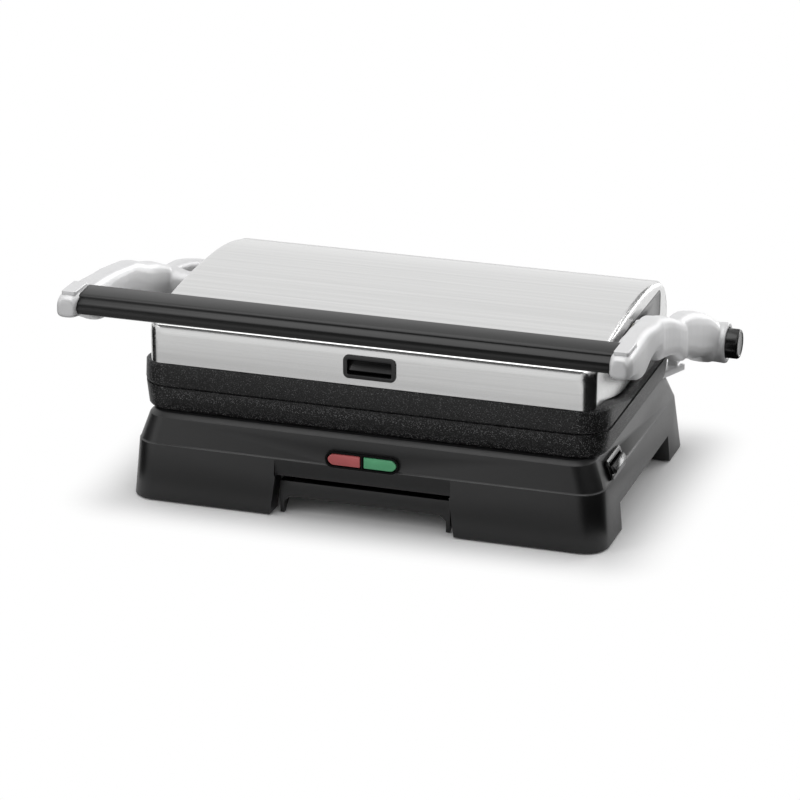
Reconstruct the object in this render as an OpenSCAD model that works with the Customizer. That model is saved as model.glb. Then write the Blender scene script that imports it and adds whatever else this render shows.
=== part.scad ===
// Contact grill with two removable plates, a floating lid on two cast arms and a
// hinge that lets the lid lie flat behind the base. Millimetres, real size, +Z up.
// X runs along the front, Y runs from the front to the back, Z = 0 is the worktop.
// Inside the modules Y is counted from the front edge of the housing; placed()
// moves everything to the origin, on the worktop under the middle of the product.

/* [Base housing] */
// Width of the housing at the worktop
base_w = 337; // [326:1:348]
// Depth of the housing at the worktop
base_d = 226; // [218:1:238]
// Height of the rim that the lower plate rests on
base_h = 62.5; // [60:0.5:68]
// Wall thickness of the moulded housings
wall = 2.6; // [2:0.1:3.4]
// Corner radius of the housing in plan
base_corner_r = 17; // [12:1:22]
// Height of the deck, from the line where the housing steps in up to the rim
deck_h = 21.5; // [20:0.5:24]
// Height of the skirt over the drip tray
front_notch_h = 28.5; // [26:0.5:31]
// Width of the front opening at the worktop
front_notch_w = 131; // [124:1:150]
// Height of the side openings between the feet
side_notch_h = 20; // [14:1:23]
// Length of the side openings
side_notch_l = 130; // [110:1:136]

/* [Plates] */
// How far each plate stands out over the cover, on each side
plate_lip = 7.5; // [5:0.5:9]
// Height of the lower plate
lower_plate_h = 17.3; // [15:0.1:19]
// Height of the upper plate at its front edge
upper_plate_h = 15.6; // [14.5:0.1:17]
// Setback of the plates from the front of the housing
plate_setback = 12; // [10:0.5:14]
// Corner radius of the plates in plan
plate_corner_r = 20; // [14:1:22]
// Width of the rim round the cooking surface
plate_rim = 9; // [7:0.5:11]
// Distance from ridge to ridge
ridge_pitch = 10; // [9:0.5:14]
// Width of a ridge at its foot
ridge_w = 5.4; // [4:0.1:6.5]
// Height of a ridge
ridge_h = 3; // [2:0.1:3.5]

/* [Lid] */
// Height of the steel front of the cover
cover_front_h = 24.6; // [22:0.2:28]
// How much the crown stands over the top of the front
crown_h = 16.4; // [12:0.2:19]
// Thickness of the steel sheet
sheet = 0.8; // [0.6:0.1:1.2]
// Corner radius of the cover in plan
cover_corner_r = 9; // [6:0.5:12]
// Radius of the bend between top and sides
cover_bend_r = 5; // [3:0.5:7]
// How far the side edge of the cover drops below its front edge
cover_dip = 11; // [8:0.5:11.5]

/* [Arms and grip] */
// Distance from the hinge forward to the front of the grip
grip_reach = 264; // [256:1:276]
// Height of the grip's lower edge over the hinge axis
grip_rise = 66; // [62:1:72]
// Thickness of the arms across
arm_w = 20; // [17:0.5:22]
// Distance from the hinge forward to the pivot of the lid
pivot_reach = 105; // [98:1:112]
// Height of the pivot of the lid over the hinge axis
pivot_rise = 38.5; // [36:0.5:40]

/* [Hinge and buttons] */
// Distance from the hinge axis to the back edge of the housing
hinge_inset = 9; // [7:0.5:11]
// Radius of the hinge barrels
barrel_r = 14.2; // [13:0.1:14.4]
// Radius of the hinge pins
hinge_pin_r = 5; // [4:0.1:6]
// Radius of the lid's pivot pins
pivot_pin_r = 4; // [3:0.1:5]
// Radius of the hinge release button
hinge_button_r = 10.6; // [9:0.1:10.8]
// Travel of each release button
button_travel = 3; // [2:0.1:3.2]
// Width of the upper plate's release
upper_latch_w = 37; // [32:0.5:42]
// Height of the upper plate's release
upper_latch_h = 16.5; // [14:0.5:18]
// Length of the lower plate's release
lower_latch_l = 32; // [26:1:36]
// Height of the lower plate's release
lower_latch_h = 12; // [10:0.5:13]
// Width of the indicator window
window_w = 52; // [44:1:60]
// Height of the indicator window
window_h = 11.5; // [9:0.5:12.5]

/* [Drip tray] */
// Gap between the drip tray and the feet beside it
tray_gap = 1.2; // [0.8:0.1:4]
// Depth of the drip tray
tray_d = 168; // [140:1:172]
// Height of the drip tray without its legs
tray_h = 11; // [8:0.5:13]

/* [Fits] */
// Gap between pieces that slide or lie on each other
fit_gap = 0.4; // [0.3:0.05:0.5]
// Radial clearance of the pins that turn
running_gap = 0.05; // [0.02:0.01:0.09]

/* [Hidden] */
$fn = 48;
eps = 0.01;

// The housing in plan: half width at the floor, at the step and at the shoulder
foot_gap = 1;
floor_x = base_w / 2;
step_x = floor_x - 3.5;
shoulder_x = step_x - 7.4;
rim_x = shoulder_x - 3;
step_z = base_h - deck_h;
shoulder_z = base_h - 2.5;
rim_r = base_corner_r - 4;
front_step = 1.4;
front_at_step = 1.6;
front_at_shoulder = 5;
front_at_rim = 9;
back_at_step = base_d - 8;
back_at_shoulder = base_d - 15;
back_at_rim = base_d - 17;

// Heights of the stack: lower plate, parting plane, upper plate, cover
lower_z0 = base_h + fit_gap;
lower_z1 = lower_z0 + lower_plate_h;
upper_z0 = lower_z1 + fit_gap;
upper_z1 = upper_z0 + upper_plate_h;
cover_z = upper_z1 + fit_gap;
front_top_z = cover_z + cover_front_h;

// The hinge, the plates and the cover, seen from above
hinge_y = base_d - hinge_inset;
hinge_z = (lower_z1 + upper_z0) / 2;
plate_x = floor_x - 4;
plate_y0 = plate_setback;
plate_y1 = hinge_y - 16;
cover_x = plate_x - plate_lip;
cover_y0 = plate_setback + 0.6;
cover_y1 = hinge_y - 11;
notch_slope = 4;
leg_t = 2.8;
bay_x = front_notch_w / 2 - notch_slope - tray_gap - leg_t;
tray_w = 2 * bay_x - 2;
arm_x0 = plate_x + 9.5;
arm_x1 = arm_x0 + arm_w;
barrel_x0 = plate_x + 2;
barrel_x1 = arm_x1 + 5.3;
pivot_y = hinge_y - pivot_reach;
pivot_z = hinge_z + pivot_rise;
grip_y = hinge_y - grip_reach;
grip_z = hinge_z + grip_rise;
origin_y = (grip_y - 3 + hinge_y + barrel_r) / 2;

// Paints, as seen: black housings, bare steel, cast silver arms, dark coated plates
housing_black = [0.17, 0.17, 0.18];
trim_black = [0.08, 0.08, 0.08];
steel = [0.78, 0.78, 0.77];
cast_silver = [0.74, 0.74, 0.74];
plate_dark = [0.2, 0.2, 0.2];
tin = [0.66, 0.66, 0.64];
spring_grey = [0.55, 0.55, 0.57];

module placed(paint) {
    color(paint) translate([0, -origin_y, 0]) children();
}

// ---------- shared shapes ----------

// Corner points of a rounded rectangle, anticlockwise, n + 1 points to a corner
function round_rect(x0, x1, y0, y1, r, n = 6) = [
    for (c = [[x1 - r, y0 + r, -90], [x1 - r, y1 - r, 0], [x0 + r, y1 - r, 90], [x0 + r, y0 + r, 180]])
        for (i = [0 : n])
            [c[0] + r * cos(c[2] + 90 * i / n), c[1] + r * sin(c[2] + 90 * i / n)]
];

function level(outline, z) = [for (p = outline) [p[0], p[1], z]];

// Skin over a stack of rings with the same number of points, closed at both ends
module loft(rings) {
    n = len(rings[0]);
    last = len(rings) - 1;
    polyhedron(
        points = [for (ring = rings) for (p = ring) p],
        faces = concat(
            [[for (i = [0 : n - 1]) i]],
            [for (k = [0 : last - 1]) for (i = [0 : n - 1]) [k * n + i, k * n + n + i, k * n + (i + 1) % n]],
            [for (k = [0 : last - 1]) for (i = [0 : n - 1])
                [k * n + (i + 1) % n, k * n + n + i, k * n + n + (i + 1) % n]],
            [[for (i = [0 : n - 1]) last * n + n - 1 - i]]
        ),
        convexity = 6
    );
}

module both_sides() {
    children();
    mirror([1, 0, 0]) children();
}

// A bar from x0 to x1 with its axis along X
module x_rod(r, x0, x1, y, z) {
    translate([x0, y, z]) rotate([0, 90, 0]) cylinder(r = r, h = x1 - x0);
}

module y_rod(r, y0, y1, x, z) {
    translate([x, y0, z]) rotate([-90, 0, 0]) cylinder(r = r, h = y1 - y0);
}

module block(x0, x1, y0, y1, z0, z1) {
    translate([x0, y0, z0]) cube([x1 - x0, y1 - y0, z1 - z0]);
}

// A block with rounded corners in plan
module round_block(x0, x1, y0, y1, z0, z1, r) {
    translate([0, 0, z0]) linear_extrude(z1 - z0) polygon(round_rect(x0, x1, y0, y1, r));
}

// Compression spring along +Z: one wire of six sides, wound round the axis
spring_steps = 10;
module coil_spring(r, wire, length, turns) {
    steps = turns * spring_steps;
    rings = [for (k = [0 : steps])
        let (turn = 360 * k / spring_steps, rise = wire + (length - 2 * wire) * k / steps)
        [for (i = [0 : 5])
            let (a = 60 * i, out = r + wire * cos(a))
            [out * cos(turn), out * sin(turn), rise + wire * sin(a)]]];
    loft([for (k = [0 : steps]) [for (i = [0 : 5]) rings[k][5 - i]]]);
}

// ---------- base housing ----------

function housing_ring(x, y0, y1, r, z, inset) =
    level(round_rect(-x + inset, x - inset, y0 + inset, y1 - inset, max(r - inset, 1)), z);

module housing_skin(inset, top_drop, bottom) {
    loft([
        housing_ring(floor_x, 0, base_d, base_corner_r, bottom, inset),
        housing_ring(step_x, front_at_step, back_at_step, base_corner_r, step_z, inset),
        housing_ring(step_x - 0.4, front_at_step + front_step, back_at_step - 0.4, base_corner_r, step_z + 0.8, inset),
        housing_ring(shoulder_x, front_at_shoulder, back_at_shoulder, base_corner_r - 2, shoulder_z - top_drop, inset),
        housing_ring(rim_x, front_at_rim, back_at_rim, rim_r, base_h - top_drop, inset)
    ]);
}

// Opening in the deck under the lower plate, where the reflector hangs
well_x = plate_x - 22;
well_y0 = plate_y0 + 13;
well_y1 = plate_y1 - 8;
well_r = 8;

module front_notch() {
    translate([0, -1, 0]) rotate([90, 0, 0]) mirror([0, 0, 1])
        linear_extrude(front_at_step + wall + 14)
        polygon([
            [-front_notch_w / 2, -1], [front_notch_w / 2, -1],
            [front_notch_w / 2 - notch_slope, front_notch_h], [-front_notch_w / 2 + notch_slope, front_notch_h]
        ]);
}

module side_notches() {
    mid = base_d / 2 + 2;
    translate([-floor_x - 5, 0, 0]) rotate([90, 0, 90]) linear_extrude(base_w + 10)
        polygon([
            [mid - side_notch_l / 2, -1], [mid + side_notch_l / 2, -1],
            [mid + side_notch_l / 2, side_notch_h], [mid - side_notch_l / 2, side_notch_h]
        ]);
}

// Indicator window, a long hole with round ends in the front face
window_z = step_z + 4.6;
module window_shape(grow) {
    r = window_h / 2 + grow;
    hull() {
        translate([-window_w / 2 + window_h / 2, 0]) circle(r = r, $fn = 40);
        translate([window_w / 2 - window_h / 2, 0]) circle(r = r, $fn = 40);
    }
}
module window_prism(grow, y0, y1) {
    translate([0, y0, window_z]) rotate([90, 0, 0]) mirror([0, 0, 1]) linear_extrude(y1 - y0) window_shape(grow);
}

// Bosses that take the screws of the bottom cover
boss_x = well_x * 2 / 3;
boss_xy = [for (sx = [-1, 1]) for (y = [well_y0 - 7.5, back_at_rim - 8]) [sx * boss_x, y]];
boss_r = 5;
boss_hole_r = 1.6;
pan_z = front_notch_h + 1;
pan_t = 2.4;

// Hooks behind the lower plate that hold its two tongues down
tongue_x = 60;
tongue_w = 16;
tongue_reach = 4;
module rear_hook() {
    difference() {
        block(-tongue_w / 2 - 3, tongue_w / 2 + 3, plate_y1 + 1, plate_y1 + 7, base_h - 1, base_h + 9);
        block(-tongue_w / 2 - fit_gap, tongue_w / 2 + fit_gap, plate_y1, plate_y1 + tongue_reach + 1,
            base_h + 1.2, base_h + 6);
    }
}

// Place of the lower plate's release on the leaning right side
lower_latch_y = 48;
lower_latch_z = (step_z + shoulder_z) / 2 - 2;
side_lean = atan((step_x - shoulder_x) / (shoulder_z - step_z));
lower_latch_x = step_x - (lower_latch_z - step_z) * tan(side_lean);
module on_side(out) {
    translate([lower_latch_x, lower_latch_y, lower_latch_z]) rotate([0, -side_lean, 0])
        translate([out, 0, 0]) rotate([90, 0, 90]) children();
}

// Post of the lower release, through a slot in the deck
lower_post_x0 = well_x + 4;
lower_post_x1 = lower_post_x0 + 3;
post_w = 9;
spring_room = 8;

// Cord inlet in the back wall
inlet_x = 56.5 - floor_x;
inlet_z = (step_z + shoulder_z) / 2;
inlet_r = 5.6;
cord_hole_r = 3.6;
back_lean = atan((back_at_step - back_at_shoulder) / (shoulder_z - step_z));
module on_back(out) {
    translate([inlet_x, (back_at_step + back_at_shoulder) / 2, inlet_z]) rotate([back_lean - 90, 0, 0])
        translate([0, 0, out]) children();
}

// The base is two mouldings that meet at the step line: a skirt with the feet and
// arches, and a deck whose lip sits inside the skirt
tab_z0 = pan_z + pan_t + 0.05;
tab_z1 = tab_z0 + 1.6;
lip_t = 1.2;
lip_h = (step_z - tab_z1) / 2;
seam_gap = 0.1;
module slice(z0, z1) {
    block(-base_w, base_w, -base_d, 2 * base_d, z0, z1);
}

// The skirt leans in over the drip tray
recess_x = front_notch_w / 2 - notch_slope + 0.8;
recess_d = 3;
module front_recess() {
    translate([-recess_x, 0, 0]) rotate([90, 0, 90]) linear_extrude(2 * recess_x)
        polygon([[-2, step_z], [front_at_step, step_z], [front_at_step + recess_d, front_notch_h], [-2, front_notch_h]]);
}
module recess_wall() {
    translate([-recess_x - wall, 0, 0]) rotate([90, 0, 90]) linear_extrude(2 * (recess_x + wall))
        polygon([[front_at_step + 0.3, step_z], [front_at_step + wall, step_z],
            [front_at_step + recess_d + wall, front_notch_h], [front_at_step, front_notch_h]]);
}

// Walls that turn in from the edges of the openings and make each foot a box
foot_wall_in = 16;
module foot_walls() {
    mid = base_d / 2 + 2;
    both_sides() block(floor_x - foot_wall_in, floor_x, mid - side_notch_l / 2 - wall,
        mid + side_notch_l / 2 + wall, foot_gap, side_notch_h + wall);
    block(-front_notch_w / 2 - wall, front_notch_w / 2 + wall, 1, foot_wall_in, foot_gap, front_notch_h);
}

// Tabs of the skirt that lie on the pan of the bottom cover
module pan_tabs() {
    for (y = foot_y) both_sides()
        block(step_x - 10, step_x, y - 7, y + 7, tab_z0, tab_z1);
}

module lower_housing() {
    placed(housing_black) difference() {
        union() {
            difference() {
                housing_skin(0, 0, foot_gap);
                housing_skin(wall, wall, foot_gap - 1);
            }
            intersection() {
                housing_skin(1, 1, foot_gap);
                union() {
                    foot_walls();
                    pan_tabs();
                }
            }
            recess_wall();
        }
        slice(step_z, base_h + 1);
        front_notch();
        front_recess();
        side_notches();
        window_prism(fit_gap / 4, -1, 20);
    }
}

module lip_ring(inset, z0, z1) {
    difference() {
        intersection() {
            housing_skin(inset, wall, foot_gap);
            slice(z0, z1);
        }
        housing_skin(wall + seam_gap + lip_t, wall + 1, foot_gap - 1);
    }
}

module deck_housing() {
    placed(housing_black) difference() {
        union() {
            difference() {
                housing_skin(0, 0, foot_gap);
                housing_skin(wall, wall, foot_gap - 1);
                slice(-1, step_z + seam_gap);
                round_block(-well_x, well_x, well_y0, well_y1, base_h - 10, base_h + 1, well_r);
            }
            lip_ring(wall + seam_gap, step_z - lip_h, step_z + 1);
            lip_ring(wall - 0.3, step_z + seam_gap, step_z + 2);
            for (p = boss_xy)
                translate([p[0], p[1], pan_z + pan_t]) cylinder(r = boss_r, h = base_h - wall - pan_z - pan_t + 0.5);
            for (sx = [-1, 1]) translate([sx * tongue_x, 0, 0]) rear_hook();
            intersection() {
                housing_skin(1, 1, foot_gap);
                both_sides() block(saddle_x0 - 2, floor_x, saddle_y0 - 2, base_d, saddle_z0 - shelf_t, saddle_z0);
            }
        }
        for (p = boss_xy) translate([p[0], p[1], pan_z]) cylinder(r = boss_hole_r, h = 16, $fn = 24);
        both_sides() translate([bracket_screw_x, bracket_screw_y, saddle_z0 - 10])
            cylinder(r = boss_hole_r + 0.3, h = 12, $fn = 24);
        block(-recess_x - wall - 1, recess_x + wall + 1, -1, front_at_step + recess_d + wall + 3, 0, step_z + seam_gap);
        window_prism(fit_gap / 4, -1, 20);
        on_side(-12) linear_extrude(24)
            polygon(round_rect(-lower_latch_l / 2, lower_latch_l / 2, -lower_latch_h / 2, lower_latch_h / 2, 2));
        block(lower_post_x0 - button_travel - 1, lower_post_x1 + 1, lower_latch_y - post_w / 2 - 1,
            lower_latch_y + post_w / 2 + 1, base_h - 8, base_h + 1);
        on_back(-8) cylinder(r = inlet_r, h = 16);
        both_sides() bracket_saddle(0.05, base_h + 1);
    }
}

// ---------- bottom cover with the tray's rails ----------

rail_t = 3;
rail_y0 = 8;
rail_y1 = rail_y0 + tray_d + 6;
rail_front = 18;
tray_top_z = front_notch_h - 5;
tray_z0 = tray_top_z - tray_h;
ledge_z = tray_z0 - fit_gap;
ledge_w = 3;
chute_x = 15;
chute_y0 = well_y0 + 2;
chute_y1 = chute_y0 + 10;
chute_t = 1.6;
board_x = window_w / 2 + 4;
board_y = 17;
board_t = 1.6;

module tray_rail() {
    block(bay_x, bay_x + rail_t, rail_y0 + rail_front, rail_y1, ledge_z - 4, pan_z + 0.5);
    block(bay_x - ledge_w, bay_x + 0.5, rail_y0 + rail_front, rail_y1, ledge_z - 1.6, ledge_z);
}

foot_r = 8;
foot_y = [22, base_d - 24];
foot_x = floor_x - 24;
foot_xy = [for (sx = [-1, 1]) for (y = foot_y) [sx * foot_x, y]];
foot_t = 3;

module bottom_cover() {
    inset = wall + fit_gap;
    placed(trim_black) difference() {
        union() {
            round_block(-step_x + 4, step_x - 4, front_at_step + inset + 3, back_at_step - inset - 1,
                pan_z, pan_z + pan_t, 10);
            both_sides() tray_rail();
            block(-bay_x - 1, bay_x + 1, rail_y1 - rail_t, rail_y1, ledge_z - 4, pan_z + 0.5);
            block(-chute_x - chute_t, chute_x + chute_t, chute_y0 - chute_t, chute_y1 + chute_t,
                pan_z - 4, base_h - fit_gap);
            for (p = foot_xy) translate([p[0], p[1], foot_gap]) cylinder(r1 = foot_r, r2 = foot_r + 2, h = pan_z);
            block(lower_post_x0 - spring_room - 1.4, lower_post_x0 - spring_room, lower_latch_y - 6, lower_latch_y + 6,
                pan_z, base_h - 9);
            both_sides() block(board_x - 1.5, board_x + 2, board_y - 2, board_y + board_t + 2, pan_z, window_z + 8);
        }
        block(-chute_x, chute_x, chute_y0, chute_y1, pan_z - 6, base_h + 1);
        for (p = boss_xy) translate([p[0], p[1], pan_z - 1]) cylinder(r = boss_hole_r + 0.4, h = 6, $fn = 24);
        for (p = foot_xy) translate([p[0], p[1], foot_gap - 1]) cylinder(r = foot_r - 2, h = foot_t + 1);
        for (p = foot_xy) translate([p[0], p[1], foot_gap + 6]) cylinder(r = foot_r - 3, h = pan_z - 10);
        block(-board_x - 0.2, board_x + 0.2, board_y - 0.1, board_y + board_t + 0.1, window_z - 8.2, window_z + 9);
    }
}

module rubber_feet() {
    placed(trim_black) for (p = foot_xy) translate([p[0], p[1], 0]) {
        cylinder(r = foot_r - 2 - 0.05, h = foot_gap + foot_t - 0.5);
    }
}

module base_screws() {
    placed(tin) for (p = boss_xy) translate([p[0], p[1], pan_z - 2.2]) difference() {
        union() {
            cylinder(r1 = 3.2, r2 = 3.6, h = 2.15);
            cylinder(r = boss_hole_r - 0.02, h = 14);
        }
        translate([-2.4, -0.5, -1]) cube([4.8, 1, 2]);
        translate([-0.5, -2.4, -1]) cube([1, 4.8, 2]);
    }
}

// ---------- indicator lights ----------

bezel_y0 = front_at_step + 0.4;
bezel_lip = 1.1;
lens_gap = 1.2;
lens_y1 = 10.2;
module lens_prism(side, y0, y1) {
    intersection() {
        window_prism(-bezel_lip, y0, y1);
        translate([side * (window_w / 2 + lens_gap / 2), (y0 + y1) / 2, window_z]) cube([window_w, 60, window_h], center = true);
    }
}

module indicator_bezel() {
    placed(trim_black) difference() {
        window_prism(0, bezel_y0, 14);
        lens_prism(-1, -1, 20);
        lens_prism(1, -1, 20);
    }
}
module red_lens() {
    placed([0.75, 0.25, 0.25]) lens_prism(-1, bezel_y0 + 0.2, lens_y1);
}
module green_lens() {
    placed([0.2, 0.65, 0.4]) lens_prism(1, bezel_y0 + 0.2, lens_y1);
}

lamp_x = window_w / 4;
module lamp_board() {
    placed([0.3, 0.42, 0.25]) {
        block(-board_x, board_x, board_y, board_y + board_t, window_z - 8, window_z + 8);
        for (sx = [-1, 1]) {
            y_rod(2.5, 13, 17.2, sx * lamp_x, window_z);
            translate([sx * lamp_x, 13, window_z]) sphere(r = 2.5, $fn = 24);
        }
    }
}

// ---------- heaters and their reflectors ----------

heater_r = 3.3;
heater_x = well_x - 22.5;
heater_runs = [-heater_x, -heater_x / 2, heater_x / 2, heater_x];
between_runs_x = 0.75 * heater_x;
heater_y0 = plate_y0 + 42;
heater_y1 = plate_y1 - 22;
bend_r = 12;
pad_w = 12;

// Quarter turn of tube from (0, 0) along +Y into +X, flat in XY
module tube_quarter(r) {
    translate([r, 0, 0]) mirror([1, 0, 0]) rotate_extrude(angle = 90) translate([r, 0]) circle(r = heater_r, $fn = 24);
}

// One element: up one run, across, and back down the next, with its two cold ends
module heater_loop(x0, x1, z) {
    y_rod(heater_r, heater_y0 - 2, heater_y1 - bend_r, x0, z);
    y_rod(heater_r, heater_y0 - 2, heater_y1 - bend_r, x1, z);
    translate([x0, heater_y1 - bend_r, z]) tube_quarter(bend_r);
    translate([x1, heater_y1 - bend_r, z]) mirror([1, 0, 0]) tube_quarter(bend_r);
    x_rod(heater_r, x0 + bend_r, x1 - bend_r, heater_y1, z);
}

module heater(z) {
    heater_loop(heater_runs[0], heater_runs[1], z);
    heater_loop(heater_runs[2], heater_runs[3], z);
    y_rod(1.4, heater_y0 - 8, heater_y0, heater_runs[0], z);
    y_rod(1.4, heater_y0 - 8, heater_y0, heater_runs[3], z);
    y_rod(heater_r, heater_y0 - 2, heater_y0, heater_runs[1], z);
    x_rod(heater_r, heater_runs[1], heater_runs[2], heater_y0 - 2 + heater_r, z);
}

lower_heater_z = base_h - heater_r;
module lower_heater() {
    placed([0.36, 0.35, 0.34]) heater(lower_heater_z);
}

clip_inset = 26;
clip_y = [heater_y0 + clip_inset, heater_y1 - clip_inset];
module heater_clips(z, floor_z) {
    drop = z - floor_z;
    for (x = heater_runs) for (y = clip_y) translate([x, y, z]) difference() {
        rotate([90, 0, 0]) translate([0, 0, -4]) linear_extrude(8) difference() {
            union() {
                circle(r = heater_r + 1.2);
                translate([-heater_r - 1.2, min(0, -drop)]) square([2 * heater_r + 2.4, abs(drop)]);
            }
            circle(r = heater_r + 0.02);
            translate([-heater_r - 2, drop > 0 ? 1 : -heater_r - 3]) square([2 * heater_r + 4, heater_r + 2]);
        }
    }
}

reflector_t = 0.8;
reflector_x = well_x - 6;
reflector_lip = 4;
reflector_y0 = chute_y1 + chute_t + 1;
lower_reflector_z = base_h - 13;

module lower_reflector() {
    placed(tin) {
        difference() {
            round_block(-reflector_x, reflector_x, reflector_y0, well_y1 - 2.5, lower_reflector_z, base_h - wall - 0.1, 6);
            round_block(-reflector_x + reflector_t, reflector_x - reflector_t, reflector_y0 + reflector_t,
                well_y1 - 2.5 - reflector_t, lower_reflector_z + reflector_t, base_h + 1, 5.4);
        }
        difference() {
            round_block(-well_x - reflector_lip, well_x + reflector_lip, reflector_y0, well_y1 + 2.4,
                base_h - wall - 0.9, base_h - wall - 0.1, 8);
            round_block(-reflector_x + reflector_t / 2, reflector_x - reflector_t / 2, reflector_y0 + reflector_t / 2,
                well_y1 - 2.5 - reflector_t / 2, base_h - 8, base_h + 1, 5.6);
            block(reflector_x + 0.2, lower_post_x1 + post_w + 3, lower_latch_y - post_w / 2 - 1.5,
                lower_latch_y + post_w / 2 + 1.5, base_h - 8, base_h + 1);
        }
    }
}

module lower_heater_clips() {
    placed(steel) heater_clips(lower_heater_z, lower_reflector_z + reflector_t);
}

thermostat_x = between_runs_x;
thermostat_y = (heater_y0 + heater_y1) / 2;
module lower_thermostat() {
    placed([0.85, 0.84, 0.8]) translate([thermostat_x, thermostat_y, lower_reflector_z + reflector_t]) {
        cylinder(r = 8, h = base_h - lower_reflector_z - reflector_t - 3);
        cylinder(r = 5, h = base_h - lower_reflector_z - reflector_t);
        for (sx = [-1, 1]) translate([sx * 9.5 - 2.5, -1, 0]) cube([5, 2, 5]);
    }
}

// Three screw terminals in a row on the pan, under the reflector
terminal_pitch = 13;
terminal_r = 2.2;
terminal_l = 3 * terminal_pitch + 1;
terminal_d = 16;
terminal_h = (lower_reflector_z - pan_z - pan_t) * 2 / 3;
module terminal_block() {
    placed([0.9, 0.89, 0.84]) translate([inlet_x - 4, base_d - 54, pan_z + pan_t]) difference() {
        translate([-terminal_l / 2, -terminal_d / 2, 0]) cube([terminal_l, terminal_d, terminal_h]);
        for (i = [-1 : 1]) y_rod(terminal_r, -terminal_d, terminal_d, i * terminal_pitch, terminal_h / 2);
    }
}

module cord_gland() {
    placed(trim_black) difference() {
        union() {
            on_back(-7) cylinder(r = inlet_r - 0.05, h = 12);
            on_back(0.1) cylinder(r = inlet_r + 2.2, h = 1.8);
            on_back(1.9) cylinder(r1 = inlet_r + 1.2, r2 = inlet_r - 0.6, h = 6);
        }
        on_back(-9) cylinder(r = cord_hole_r, h = 20);
    }
}

// ---------- hinge: brackets on the base, pins, washers ----------

ear_x0 = cover_x + 1.6;
ear_x1 = plate_x + 0.6;
ear_r = 11.8;
saddle_x0 = rim_x - 6;
saddle_x1 = step_x + 4;
saddle_y0 = hinge_y - 24;
saddle_t = 5;
saddle_z0 = base_h - saddle_t - 0.5;
shelf_t = 4;
bracket_screw_x = saddle_x0 + 4.5;
bracket_screw_y = saddle_y0 + 6.5;

// The saddle sits in the rear corner of the housing and carries the ear. It comes out
// of the side wall at a slant, wider to the back.
module bracket_saddle(grow, top) {
    translate([0, 0, saddle_z0 - grow]) linear_extrude(top - saddle_z0 + grow) polygon([
        [saddle_x0 - grow, saddle_y0 - grow],
        [rim_x + 4 + grow, saddle_y0 - 1.5 - grow],
        [saddle_x1 + grow, hinge_y - 1 + grow],
        [saddle_x0 - grow, hinge_y - 1 + grow]
    ]);
}

module bracket_ear() {
    difference() {
        hull() {
            x_rod(ear_r, ear_x0, ear_x1, hinge_y, hinge_z);
            block(ear_x0, ear_x1, hinge_y - 10, hinge_y - 2, saddle_z0 + 1, saddle_z0 + 2);
        }
        x_rod(hinge_pin_r + 0.02, ear_x0 - 1, ear_x1 + 1, hinge_y, hinge_z);
    }
}

module hinge_bracket() {
    difference() {
        union() {
            bracket_saddle(0, saddle_z0 + saddle_t);
            bracket_ear();
        }
        translate([bracket_screw_x, bracket_screw_y, saddle_z0 - 1]) cylinder(r = boss_hole_r, h = saddle_t + 0.2, $fn = 24);
    }
}
module hinge_bracket_right() {
    placed(cast_silver) hinge_bracket();
}
module hinge_bracket_left() {
    placed(cast_silver) mirror([1, 0, 0]) hinge_bracket();
}

pin_x1 = barrel_x0 + 13.5;
module hinge_pins() {
    placed(tin) both_sides() {
        x_rod(hinge_pin_r, ear_x0 - 0.5, pin_x1, hinge_y, hinge_z);
        x_rod(hinge_pin_r + 1.6, ear_x0 - 1.1, ear_x0, hinge_y, hinge_z);
    }
}

module bracket_screws() {
    placed(tin) both_sides() translate([bracket_screw_x, bracket_screw_y, saddle_z0 - shelf_t - 2.15]) {
        cylinder(r = 3, h = 2.1);
        cylinder(r = boss_hole_r - 0.02, h = shelf_t + saddle_t);
    }
}

module hinge_washers() {
    placed([0.88, 0.87, 0.82]) both_sides() difference() {
        x_rod(8.5, ear_x1 + 0.1, barrel_x0 - 0.3, hinge_y, hinge_z);
        x_rod(hinge_pin_r + running_gap, ear_x1 - 1, barrel_x0 + 1, hinge_y, hinge_z);
    }
}

// ---------- lower plate release, on the right side of the base ----------

latch_frame = 2;
module lower_latch_bezel() {
    placed(trim_black) on_side(-3) difference() {
        union() {
            linear_extrude(5.2)
                polygon(round_rect(-lower_latch_l / 2 + 0.05, lower_latch_l / 2 - 0.05,
                    -lower_latch_h / 2 + 0.05, lower_latch_h / 2 - 0.05, 2));
            translate([0, 0, 3.05]) linear_extrude(2)
                polygon(round_rect(-lower_latch_l / 2 - 1, lower_latch_l / 2 + 1,
                    -lower_latch_h / 2 - 1, lower_latch_h / 2 + 1, 2.6));
        }
        translate([0, 0, -1]) linear_extrude(9)
            polygon(round_rect(-lower_latch_l / 2 + latch_frame, lower_latch_l / 2 - latch_frame,
                -lower_latch_h / 2 + latch_frame, lower_latch_h / 2 - latch_frame, 1));
    }
}

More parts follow.
